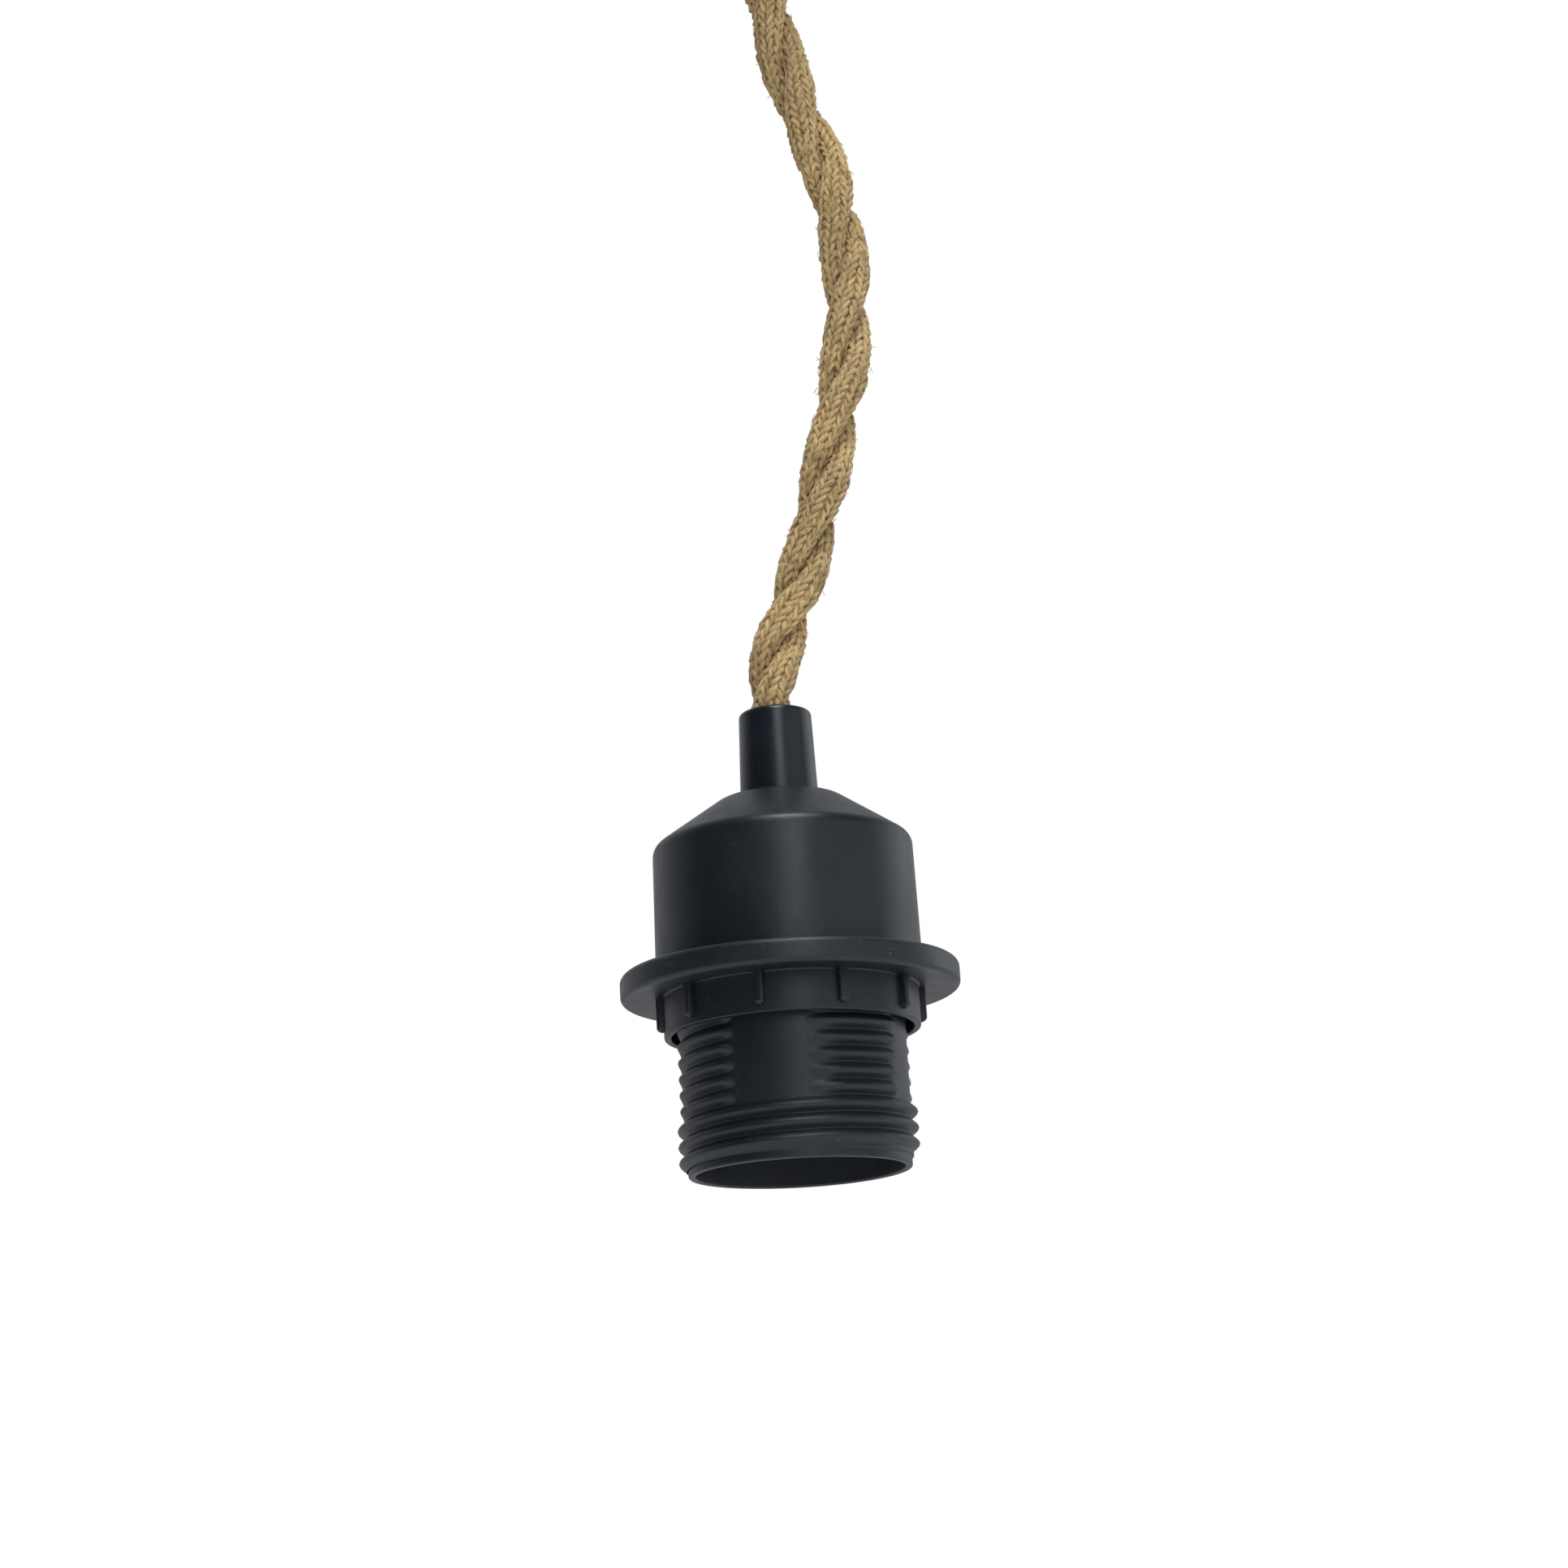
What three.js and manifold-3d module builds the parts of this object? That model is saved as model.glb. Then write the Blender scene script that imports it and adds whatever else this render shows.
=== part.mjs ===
// A pendant cord set: a ceiling rose, a cord of two twisted strands, and a lampholder with a shade ring.
// Millimetres, +Z up. The origin is the middle of the rose's ceiling face, and everything hangs below it.
// Angles round the holder are in degrees from the front, which is -Y, towards +X.

import * as THREE from "three";
import { mergeVertices } from "three/addons/utils/BufferGeometryUtils.js";
import Module from "manifold-3d";

const wasm = await Module();
wasm.setup();

// Gaps and facets
const SEAT = 0.3; // between two faces that touch, and round a screw in its hole
const MERGE = 1e-3; // corners closer than this are one corner
const LARGE_ROUND = 40; // facets round a cup, cap or ring, and in a turn of a thread
const SMALL_ROUND = 24; // facets round a grip or nut
const SCREW_ROUND = 10; // facets round a screw or bore
const EDGE_STEPS = 3; // facets along a rounded edge
const OVERRUN = 1; // how far a cut runs past the face that it opens

// Cord: its route from the upper end, which the rose's grip holds, to the lower one
const CORD_DIAMETER = 8.4;
const CORD_SIDES = 10;
const CORD_STEPS = 20;
const CORD_ROUTE = [
  [0, 0, 0],
  [0, 0, -5.7],
  [0.15, 0, -11.7],
  [0.9, 0.2, -17.7],
  [2.1, 0.5, -23.7],
  [3.5, 0.9, -29.7],
  [5, 1.3, -35.7],
  [6.2, 1.7, -41.7],
  [7.1, 2, -47.7],
  [8.1, 2.2, -53.7],
  [9.5, 2.3, -59.7],
  [11.3, 2.3, -65.7],
  [13.2, 2.1, -71.7],
  [14.9, 1.8, -77.7],
  [16.1, 1.4, -83.7],
  [16.9, 0.9, -89.7],
  [17.25, 0.3, -96.7],
  [17.2, -0.3, -103.7],
  [16.75, -0.9, -110.7],
  [15.8, -1.4, -117.7],
  [14.3, -1.7, -124.7],
  [12.6, -1.9, -131.7],
  [10.9, -1.9, -138.7],
  [9.1, -1.7, -145.7],
  [7, -1.4, -152.7],
  [4.9, -1, -158.7],
  [2.5, -0.6, -164.7],
  [0.85, -0.3, -169.7],
  [-0.15, -0.1, -174.7],
  [-0.4, 0, -179.7],
  [-0.3, 0, -184.7],
  [-0.2, 0, -190.6],
].map((point) => new THREE.Vector3(...point));

// Cord grip: one holds each end of the cord, and its stub goes through the wall that it is fixed to
const GRIP_LENGTH = 13.5;
const GRIP_FOOT_RADIUS = 6.7;
const GRIP_MOUTH_RADIUS = 6.25;
const GRIP_EDGE = 0.9; // rounding of the outer edge at the mouth
const GRIP_CLEARANCE = 0.7; // round the cord
const GRIPPED_LENGTH = 10; // of the cord, inside the grip
const STUB_RADIUS = 5;
const STUB_LENGTH = 7.5;
const STUB_BORE_RADIUS = 3.3;
const STUB_CHAMFER = 0.5;
const NUT_ACROSS_FLATS = 14;
const NUT_HEIGHT = 3;
const GRIP_SCREW_RADIUS = 1.4;
const GRIP_SCREW_HEAD_RADIUS = 2.3;
const GRIP_SCREW_HEAD_HEIGHT = 1.5;
const SLOT_SHARE = 0.3; // a screw slot's width, as a share of its head's radius

// Wires
const WIRE_RADIUS = 1.1;
const WIRE_CORE_RADIUS = 0.6;
const WIRE_APART = 2.8; // between the two wires' centres, where they leave the cord
const WIRE_SIDES = 6;
const WIRE_STEPS = 10;
const BARE_LENGTH = 5; // of stripped core, in a terminal
const ROSE_WIRE_WAY = [
  // shares of the way across and forwards to the terminal, and the rise above the grip's stub
  [0.1, 0.12, 3],
  [0.35, 0.35, 4.5],
  [0.75, 0.65, 3.6],
];
const HOLDER_WIRE_WAY = [
  // shares of the way across and down to the terminal
  [0.3, 0.35],
  [0.9, 0.75],
];

// Ceiling rose
const ROSE_RADIUS = 45;
const ROSE_DEPTH = 26;
const ROSE_DRAFT = 1; // how much smaller the cup is at its face than at the ceiling
const ROSE_EDGE = 4;
const ROSE_WALL = 2;
const CROSSBAR_END_GAP = 4; // between its ends and the cup's wall
const CROSSBAR_WIDTH = 16;
const CROSSBAR_THICKNESS = 1.5;
const SLOT_LENGTH = 12;
const SLOT_WIDTH = 5;
const SLOT_CENTRE = 17; // from the middle of the crossbar
const CUP_SCREW_INSET = 8; // from the end of the crossbar
const CUP_SCREW_RADIUS = 2;
const CUP_SCREW_HEAD_RADIUS = 3.8;
const CUP_SCREW_HEAD_HEIGHT = 2.2;

// Terminal strip in the rose
const STRIP_LENGTH = 21;
const STRIP_DEPTH = 16;
const STRIP_BASE_HEIGHT = 8;
const STRIP_BACK = 25; // how far its middle lies in front of the rose's axis
const STRIP_BOSS_HEIGHT = 2;
const STRIP_BOSS_RADIUS = 3.5;
const TOWER_WIDTH = 7;
const TOWER_HEIGHT = 4;
const POLE_APART = 11;
const TUBE_RADIUS = 2.2;
const TUBE_BORE_RADIUS = 1.3;
const TUBE_LENGTH = 13;
const CLAMP_SCREW_RADIUS = 1;
const CLAMP_SCREW_HEAD_RADIUS = 1.6;
const CLAMP_SCREW_HEAD_HEIGHT = 1.2;
const CLAMP_SCREW_APART = 7;

// Holder: heights are above the skirt's mouth
const MOUTH_BORE_RADIUS = 17.5;
const SKIRT_RADIUS = 19;
const SKIRT_HEIGHT = 46;
const LIP_RADIUS = 18.7;
const LIP_ROUND = 0.4;
const LIP_HEIGHT = 1.4;
const THREAD_RADIUS = 20.15; // over its crests
const THREAD_PITCH = 2.7;
const THREAD_RIDGE = 1.9; // width of a ridge at its foot
const THREAD_START = 1.72; // height of its first crest, at the rear
const THREAD_FULL_TURNS = 3; // below the plain strips
const THREAD_SINK = 0.5; // how far a thread's root is sunk into the wall that carries it
const PLAIN_STRIPS = [
  [-33, 7],
  [60, 77],
  [147, 187],
  [240, 257],
];
const LAND_GAP = 0.6; // between the ring's top and the land that the cap sits on

// Lamp sleeve inside the skirt
const LAMP_THREAD_RADIUS = 13.35;
const LAMP_CREST_RADIUS = 12.35;
const LAMP_PITCH = 3.63;
const LAMP_RIDGE = 2.6;
const SLEEVE_WALL = 1.4;
const SLEEVE_FLOOR = 11;
const SLEEVE_TOP = 36;
const SLEEVE_FUNNEL = 0.9;

// Shade ring
const RING_RADIUS = 28.75;
const RING_THICKNESS = 4.4;
const RING_EDGE = 1.2;
const RING_LEAD_DEPTH = 0.6; // of the shallow funnel at the top of its bore
const COLLAR_RADIUS = 21.65;
const COLLAR_HEIGHT = 6.4;
const RIB_COUNT = 10;
const RIB_PHASE = -13.2;
const RIB_RADIUS = 22.95;
const RIB_WIDTH = 1.4;
const RIB_STOP = 1.8; // above the collar's lower edge

// Cap
const CAP_BASE = 34.6; // height of its lower rim
const CAP_RADIUS = 22.6;
const CAP_SHOULDER_RADIUS = 22.2;
const CAP_CONE_ANGLE = 33;
const CAP_SHOULDER_ROUND = 2.3;
const CROWN_RADIUS = 8.8;
const CROWN_HEIGHT = 65.2;
const CROWN_ROUND = 5;
const CAP_WALL = 2;

// Contact carrier and contacts
const CARRIER_THICKNESS = 4;
const CONTACT_THICKNESS = 0.8;
const CONTACT_WIDTH = 6;
const CONTACT_LEG = 9.2; // from the axis to the outside of each leg
const CONTACT_RISE = 5; // how far a leg stands above the carrier
const TIP_DROP = 3.8; // from the carrier's underside to the flat tip
const TIP_LENGTH = 5.5;
const TIP_TURN = 1; // how far the tip's free end turns up
const SHELL_CONTACT_LENGTH = 12;
const TERMINAL_WIDTH = 6;
const TERMINAL_DEPTH = 8;
const TERMINAL_HEIGHT = 7;
const TERMINAL_FLOOR = 1; // below its wire bore
const TERMINAL_BORE_RADIUS = 1.2;
const TERMINAL_SCREW_RADIUS = 1.2;
const TERMINAL_SCREW_HEAD_RADIUS = 2.2;
const TERMINAL_SCREW_HEAD_HEIGHT = 1.6;

// Sizes that follow from those above
const CORD_RADIUS = CORD_DIAMETER / 2;
const GRIP_BORE_RADIUS = CORD_RADIUS + GRIP_CLEARANCE;
const GRIP_SCREW_HEIGHT = GRIP_LENGTH - GRIPPED_LENGTH / 2;
const CORD_SEAT = GRIP_LENGTH - GRIPPED_LENGTH; // the cord's end, above the grip's foot
const STUB_HOLE_RADIUS = STUB_RADIUS + SEAT;
const RING_TOP = CAP_BASE - SEAT;
const RING_BORE_RADIUS = THREAD_RADIUS + SEAT;
const RING_LEAD_RADIUS = CAP_RADIUS + SEAT; // the flat face starts just outside the cap
const COLLAR_BASE = RING_TOP - RING_THICKNESS - COLLAR_HEIGHT;
const CARRIER_BASE = SLEEVE_TOP + SEAT;
const CARRIER_TOP = CARRIER_BASE + CARRIER_THICKNESS;
const TERMINAL_BASE = CARRIER_TOP + SEAT;
const TERMINAL_CENTRE = CONTACT_LEG - CONTACT_THICKNESS - SEAT - TERMINAL_WIDTH / 2;
const CROSSBAR_LENGTH = 2 * (ROSE_RADIUS - ROSE_WALL - CROSSBAR_END_GAP);
const CUP_SCREW_CENTRE = CROSSBAR_LENGTH / 2 - CUP_SCREW_INSET;
const ROSE_FACE = -ROSE_DEPTH;
const ROSE_FLOOR = ROSE_FACE + ROSE_WALL;
const STRIP_BASE = ROSE_FLOOR + STRIP_BOSS_HEIGHT + SEAT;
const POLE_HEIGHT = STRIP_BASE + STRIP_BASE_HEIGHT / 2;

// Finishes
const CHARCOAL = { color: 0x26292d, roughness: 0.55, metalness: 0 };
const GLOSSY_CHARCOAL = { color: 0x1f2226, roughness: 0.35, metalness: 0 };
const JUTE = { color: 0x9b8460, roughness: 0.95, metalness: 0 };
const BRASS = { color: 0xc9a24d, roughness: 0.35, metalness: 1 };
const ZINC = { color: 0xb9bcc0, roughness: 0.4, metalness: 1 };
const CREAM = { color: 0xe6e0d0, roughness: 0.6, metalness: 0 };
const BROWN = { color: 0x5a3420, roughness: 0.5, metalness: 0 };
const BLUE = { color: 0x2c5c9c, roughness: 0.5, metalness: 0 };

const radians = THREE.MathUtils.degToRad;
const fromFront = (degrees) => radians(degrees - 90);

// Solids

// A closed three.js geometry as a solid that can be joined and cut, with its faces turned outwards.
function solidOf(geometry) {
  const bare = geometry.index ? geometry.toNonIndexed() : geometry.clone();
  for (const name of Object.keys(bare.attributes)) if (name !== "position") bare.deleteAttribute(name);
  const merged = mergeVertices(bare, MERGE);
  const faces = [];
  for (let i = 0; i < merged.index.count; i += 3) {
    const [a, b, c] = merged.index.array.slice(i, i + 3);
    if (a !== b && b !== c && c !== a) faces.push([a, b, c]);
  }
  const made = (list) =>
    new wasm.Manifold(
      new wasm.Mesh({
        numProp: 3,
        vertProperties: merged.attributes.position.array,
        triVerts: new Uint32Array(list.flat()),
      }),
    );
  const solid = made(faces);
  return solid.volume() < 0 ? made(faces.map(([a, b, c]) => [a, c, b])) : solid;
}

// A closed profile of [radius, height] points, turned round the Z axis.
function turned(profile, facets) {
  const points = profile.map(([radius, height]) => new THREE.Vector2(radius, height));
  const closed = [...points, points[0].clone()];
  return solidOf(new THREE.LatheGeometry(closed, facets).rotateX(Math.PI / 2));
}

// A flat outline in X and Y, raised from one height to another.
function raised(outline, fromZ, toZ) {
  const options = { depth: toZ - fromZ, bevelEnabled: false, curveSegments: SCREW_ROUND / 2 };
  return solidOf(new THREE.ExtrudeGeometry(outline, options).translate(0, 0, fromZ));
}

function block(x0, x1, y0, y1, z0, z1) {
  const box = new THREE.BoxGeometry(x1 - x0, y1 - y0, z1 - z0);
  return solidOf(box.translate((x0 + x1) / 2, (y0 + y1) / 2, (z0 + z1) / 2));
}

// A round rod along Z, or along Y where it is asked for.
function rod(radius, from, to, { x = 0, y = 0, facets = SCREW_ROUND } = {}) {
  const shape = new THREE.CylinderGeometry(radius, radius, to - from, facets).rotateX(Math.PI / 2);
  return solidOf(shape.translate(x, y, (from + to) / 2));
}

function rodAlongY(radius, from, to, { x = 0, z = 0, facets = SCREW_ROUND } = {}) {
  const shape = new THREE.CylinderGeometry(radius, radius, to - from, facets);
  return solidOf(shape.translate(x, (from + to) / 2, z));
}

// A tube along a route.
function tube(route, radius, sides, steps) {
  const section = new THREE.Shape();
  for (let i = 0; i < sides; i++) {
    const turn = (2 * Math.PI * i) / sides;
    const point = [radius * Math.cos(turn), radius * Math.sin(turn)];
    if (i) section.lineTo(...point);
    else section.moveTo(...point);
  }
  const path = new THREE.CatmullRomCurve3(route);
  return solidOf(new THREE.ExtrudeGeometry(section, { extrudePath: path, steps, bevelEnabled: false }));
}

// Points along a rounded corner: it turns from the line that comes in from one point to the line that leaves for another.
function rounded(from, corner, to, radius) {
  const [a, c, b] = [from, corner, to].map((point) => new THREE.Vector2(...point));
  const [inward, onward] = [a.sub(c).normalize(), b.sub(c).normalize()];
  const half = Math.acos(THREE.MathUtils.clamp(inward.dot(onward), -1, 1)) / 2;
  const centre = c.clone().addScaledVector(inward.clone().add(onward).normalize(), radius / Math.sin(half));
  const start = c.clone().addScaledVector(inward, radius / Math.tan(half)).sub(centre);
  const end = c.clone().addScaledVector(onward, radius / Math.tan(half)).sub(centre);
  const sweep = start.cross(end) > 0 ? Math.PI - 2 * half : 2 * half - Math.PI;
  return Array.from({ length: EDGE_STEPS + 1 }, (_, i) =>
    start
      .clone()
      .rotateAround(new THREE.Vector2(), (sweep * i) / EDGE_STEPS)
      .add(centre)
      .toArray(),
  );
}

// A threaded rod whose thread winds upwards from the rear. Its ends are cones, which are cut off where it is used.
function threadedRod({ rootRadius, crestRadius, ridge, pitch, start, turns, facets, isPlain = () => false }) {
  const corners = [];
  const last = Math.round(turns * facets);
  for (let i = 0; i <= last + facets; i++) {
    const turn = Math.PI / 2 + (2 * Math.PI * i) / facets;
    const height = start + (pitch * i) / facets;
    const section = [
      [isPlain(turn, height) ? rootRadius : crestRadius, height],
      [rootRadius, height + ridge / 2],
      [rootRadius, height + pitch - ridge / 2],
    ];
    for (const [radius, z] of section) corners.push(radius * Math.cos(turn), radius * Math.sin(turn), z);
  }
  const at = (i, level) => (level < 3 ? 3 * i + level : 3 * (i + facets));
  const faces = [];
  for (let i = 0; i < last; i++)
    for (let level = 0; level < 3; level++) {
      const [a, b, c, d] = [at(i, level), at(i + 1, level), at(i + 1, level + 1), at(i, level + 1)];
      faces.push(a, b, c, a, c, d);
    }
  const turnOfCrests = (first) => Array.from({ length: facets + 1 }, (_, i) => at(first + i, 0));
  const ends = [
    [[...turnOfCrests(0), at(0, 2), at(0, 1)], start - pitch],
    [[at(last, 1), at(last, 2), ...turnOfCrests(last).reverse()], start + (turns + 2) * pitch],
  ];
  for (const [loop, height] of ends) {
    const apex = corners.length / 3;
    corners.push(0, 0, height);
    loop.forEach((corner, i) => faces.push(apex, loop[(i + 1) % loop.length], corner));
  }
  const geometry = new THREE.BufferGeometry();
  geometry.setAttribute("position", new THREE.Float32BufferAttribute(corners, 3));
  geometry.setIndex(faces);
  return solidOf(geometry);
}

// A strip of sheet metal bent along a line of [x, z] points, as wide as a contact.
function bentStrip(line) {
  const points = line.map((point) => new THREE.Vector2(...point));
  const side = (sign) =>
    points.map((point, i) => {
      const before = i ? point.clone().sub(points[i - 1]).normalize() : null;
      const after = i < points.length - 1 ? points[i + 1].clone().sub(point).normalize() : null;
      const along = (before ?? after).clone().add(after ?? before).normalize();
      const out = new THREE.Vector2(-along.y, along.x);
      const first = before ?? after;
      const stretch = 1 / out.dot(new THREE.Vector2(-first.y, first.x));
      return point.clone().addScaledVector(out, (sign * stretch * CONTACT_THICKNESS) / 2);
    });
  const outline = new THREE.Shape([...side(1), ...side(-1).reverse()]);
  const options = { depth: CONTACT_WIDTH, bevelEnabled: false };
  const strip = new THREE.ExtrudeGeometry(outline, options).translate(0, 0, -CONTACT_WIDTH / 2);
  return solidOf(strip.rotateX(Math.PI / 2));
}

// A slotted screw that points down: its head sits on zero height.
function screw({ radius, length, headRadius, headHeight }) {
  const head = rod(headRadius, 0, headHeight);
  const half = (SLOT_SHARE * headRadius) / 2;
  const slot = block(-2 * headRadius, 2 * headRadius, -half, half, headHeight / 2, 2 * headHeight);
  return rod(radius, -length, headHeight / 4).add(head).subtract(slot);
}

// An insulated wire that ends in a stripped core, at the route's last point and in its last direction.
function wire(route, coreDirection) {
  const end = route[route.length - 1];
  const along = new THREE.Vector3(...coreDirection);
  const core = new THREE.CylinderGeometry(WIRE_CORE_RADIUS, WIRE_CORE_RADIUS, BARE_LENGTH + WIRE_RADIUS, WIRE_SIDES);
  core.applyQuaternion(new THREE.Quaternion().setFromUnitVectors(new THREE.Vector3(0, 1, 0), along));
  const middle = end.clone().addScaledVector(along, (BARE_LENGTH - WIRE_RADIUS) / 2);
  return tube(route, WIRE_RADIUS, WIRE_SIDES, WIRE_STEPS).add(solidOf(core.translate(...middle)));
}

// Meshes

function meshOf(name, solid, finish) {
  const { vertProperties, triVerts } = solid.getMesh();
  const geometry = new THREE.BufferGeometry();
  geometry.setAttribute("position", new THREE.BufferAttribute(new Float32Array(vertProperties), 3));
  geometry.setIndex(new THREE.BufferAttribute(new Uint32Array(triVerts), 1));
  const flat = geometry.toNonIndexed();
  flat.computeVertexNormals();
  const mesh = new THREE.Mesh(flat, new THREE.MeshStandardMaterial(finish));
  mesh.name = name;
  return mesh;
}

// A mesh stood somewhere else, and turned if need be.
function stand(mesh, [x, y, z], [turnX, turnY, turnZ] = [0, 0, 0]) {
  mesh.position.set(x, y, z);
  mesh.rotation.set(turnX, turnY, turnZ);
  return mesh;
}

// Cord grip: its foot at zero height, the cord above it and the stub below

function gripBody() {
  const mouth = [GRIP_MOUTH_RADIUS, GRIP_LENGTH];
  const foot = [GRIP_FOOT_RADIUS, 0];
  const body = turned(
    [
      [STUB_BORE_RADIUS, -STUB_LENGTH],
      [STUB_RADIUS - STUB_CHAMFER, -STUB_LENGTH],
      [STUB_RADIUS, STUB_CHAMFER - STUB_LENGTH],
      [STUB_RADIUS, 0],
      foot,
      ...rounded(foot, mouth, [0, GRIP_LENGTH], GRIP_EDGE),
      [GRIP_BORE_RADIUS, GRIP_LENGTH],
      [GRIP_BORE_RADIUS, CORD_SEAT - SEAT],
      [STUB_BORE_RADIUS, CORD_SEAT - SEAT],
    ],
    SMALL_ROUND,
  );
  return body.subtract(rodAlongY(GRIP_SCREW_RADIUS + SEAT, 0, 2 * GRIP_FOOT_RADIUS, { z: GRIP_SCREW_HEIGHT }));
}

// The grip screw comes in from behind and stops just short of the cord.
function gripScrew() {
  return screw({
    radius: GRIP_SCREW_RADIUS,
    length: GRIP_FOOT_RADIUS - CORD_RADIUS,
    headRadius: GRIP_SCREW_HEAD_RADIUS,
    headHeight: GRIP_SCREW_HEAD_HEIGHT,
  });
}

function gripNut() {
  const hexagon = new THREE.Shape(
    Array.from({ length: 6 }, (_, i) =>
      new THREE.Vector2(NUT_ACROSS_FLATS / Math.sqrt(3), 0).rotateAround(new THREE.Vector2(), (i * Math.PI) / 3),
    ),
  );
  const bore = rod(STUB_HOLE_RADIUS, -2 * NUT_HEIGHT, NUT_HEIGHT, { facets: SMALL_ROUND });
  return raised(hexagon, -NUT_HEIGHT, 0).subtract(bore);
}

// The grip, its screw and its nut behind a wall, as one group whose foot is at zero height.
function grip(prefix, wall) {
  const group = new THREE.Group();
  group.add(
    meshOf(`${prefix}_grip`, gripBody(), GLOSSY_CHARCOAL),
    stand(
      meshOf(`${prefix}_grip_screw`, gripScrew(), GLOSSY_CHARCOAL),
      [0, GRIP_FOOT_RADIUS + SEAT, GRIP_SCREW_HEIGHT],
      [-Math.PI / 2, 0, 0],
    ),
    stand(meshOf(`${prefix}_grip_nut`, gripNut(), ZINC), [0, 0, -2 * SEAT - wall]),
  );
  return group;
}

// Ceiling rose

function roseCup() {
  const face = [ROSE_RADIUS - ROSE_DRAFT, ROSE_FACE];
  const rim = [ROSE_RADIUS, 0];
  const innerFace = [ROSE_RADIUS - ROSE_DRAFT - ROSE_WALL, ROSE_FLOOR];
  const innerRim = [ROSE_RADIUS - ROSE_WALL, 0];
  const cup = turned(
    [
      [STUB_HOLE_RADIUS, ROSE_FACE],
      ...rounded([0, ROSE_FACE], face, rim, ROSE_EDGE),
      rim,
      innerRim,
      ...rounded(innerRim, innerFace, [0, ROSE_FLOOR], ROSE_EDGE - ROSE_WALL),
      [STUB_HOLE_RADIUS, ROSE_FLOOR],
    ],
    LARGE_ROUND,
  );
  const boss = rod(STRIP_BOSS_RADIUS, ROSE_FLOOR - ROSE_WALL / 2, ROSE_FLOOR + STRIP_BOSS_HEIGHT, { y: -STRIP_BACK });
  const bossHole = rod(CLAMP_SCREW_RADIUS + SEAT, ROSE_FLOOR, ROSE_FLOOR + 2 * STRIP_BOSS_HEIGHT, { y: -STRIP_BACK });
  const screwHole = (x) => rod(CUP_SCREW_RADIUS + SEAT, ROSE_FACE - ROSE_WALL, ROSE_FLOOR + ROSE_WALL, { x });
  return cup
    .add(boss)
    .subtract(bossHole)
    .subtract(screwHole(CUP_SCREW_CENTRE))
    .subtract(screwHole(-CUP_SCREW_CENTRE));
}

// A flat steel bar with a tapped hole near each end and two slots for the ceiling's own screws.
function crossbar() {
  const [halfLength, halfWidth, halfSlot] = [CROSSBAR_LENGTH / 2, CROSSBAR_WIDTH / 2, SLOT_WIDTH / 2];
  const end = halfLength - halfWidth;
  const outline = new THREE.Shape();
  outline.absarc(end, 0, halfWidth, -Math.PI / 2, Math.PI / 2);
  outline.absarc(-end, 0, halfWidth, Math.PI / 2, (3 * Math.PI) / 2);
  for (const side of [-1, 1]) {
    const reach = (SLOT_LENGTH - SLOT_WIDTH) / 2;
    const slot = new THREE.Path();
    slot.absarc(side * SLOT_CENTRE + reach, 0, halfSlot, -Math.PI / 2, Math.PI / 2);
    slot.absarc(side * SLOT_CENTRE - reach, 0, halfSlot, Math.PI / 2, (3 * Math.PI) / 2);
    outline.holes.push(slot);
  }
  const tapped = (x) => rod(CUP_SCREW_RADIUS + SEAT, -2 * CROSSBAR_THICKNESS, CROSSBAR_THICKNESS, { x });
  return raised(outline, -CROSSBAR_THICKNESS, 0)
    .subtract(tapped(CUP_SCREW_CENTRE))
    .subtract(tapped(-CUP_SCREW_CENTRE));
}

// The cup's two screws go up through its face and into the crossbar.
function cupScrew() {
  return screw({
    radius: CUP_SCREW_RADIUS,
    length: ROSE_DEPTH,
    headRadius: CUP_SCREW_HEAD_RADIUS,
    headHeight: CUP_SCREW_HEAD_HEIGHT,
  });
}

const POLES = [
  ["live", -POLE_APART / 2, BROWN],
  ["neutral", POLE_APART / 2, BLUE],
];
const CLAMP_PLACES = [
  ["cord", CLAMP_SCREW_APART / 2],
  ["mains", -CLAMP_SCREW_APART / 2],
];

// The strip's own frame has its underside at zero height and its middle on the axis.
function terminalStrip() {
  const [halfLength, halfDepth, halfTower] = [STRIP_LENGTH / 2, STRIP_DEPTH / 2, TOWER_WIDTH / 2];
  const [axis, top] = [STRIP_BASE_HEIGHT / 2, STRIP_BASE_HEIGHT + TOWER_HEIGHT];
  let strip = block(-halfLength, halfLength, -halfDepth, halfDepth, 0, STRIP_BASE_HEIGHT);
  for (const [, x] of POLES) strip = strip.add(block(x - halfTower, x + halfTower, -halfDepth, halfDepth, axis, top));
  for (const [, x] of POLES) {
    strip = strip.subtract(rodAlongY(TUBE_RADIUS + SEAT, -STRIP_DEPTH, STRIP_DEPTH, { x, z: axis }));
    for (const [, y] of CLAMP_PLACES)
      strip = strip.subtract(rod(CLAMP_SCREW_HEAD_RADIUS + SEAT, axis, top + OVERRUN, { x, y }));
  }
  return strip.subtract(rod(CLAMP_SCREW_RADIUS + SEAT, -OVERRUN, top));
}

function stripTube() {
  let tubeSolid = rodAlongY(TUBE_RADIUS, -TUBE_LENGTH / 2, TUBE_LENGTH / 2);
  tubeSolid = tubeSolid.subtract(rodAlongY(TUBE_BORE_RADIUS, -TUBE_LENGTH, TUBE_LENGTH));
  for (const [, y] of CLAMP_PLACES)
    tubeSolid = tubeSolid.subtract(rod(CLAMP_SCREW_RADIUS + SEAT, 0, 2 * TUBE_RADIUS, { y }));
  return tubeSolid;
}

// A clamp screw's head stands just clear of the tube, and its tip just clear of the wire's core.
function clampScrew(length) {
  return screw({
    radius: CLAMP_SCREW_RADIUS,
    length,
    headRadius: CLAMP_SCREW_HEAD_RADIUS,
    headHeight: CLAMP_SCREW_HEAD_HEIGHT,
  });
}

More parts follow.
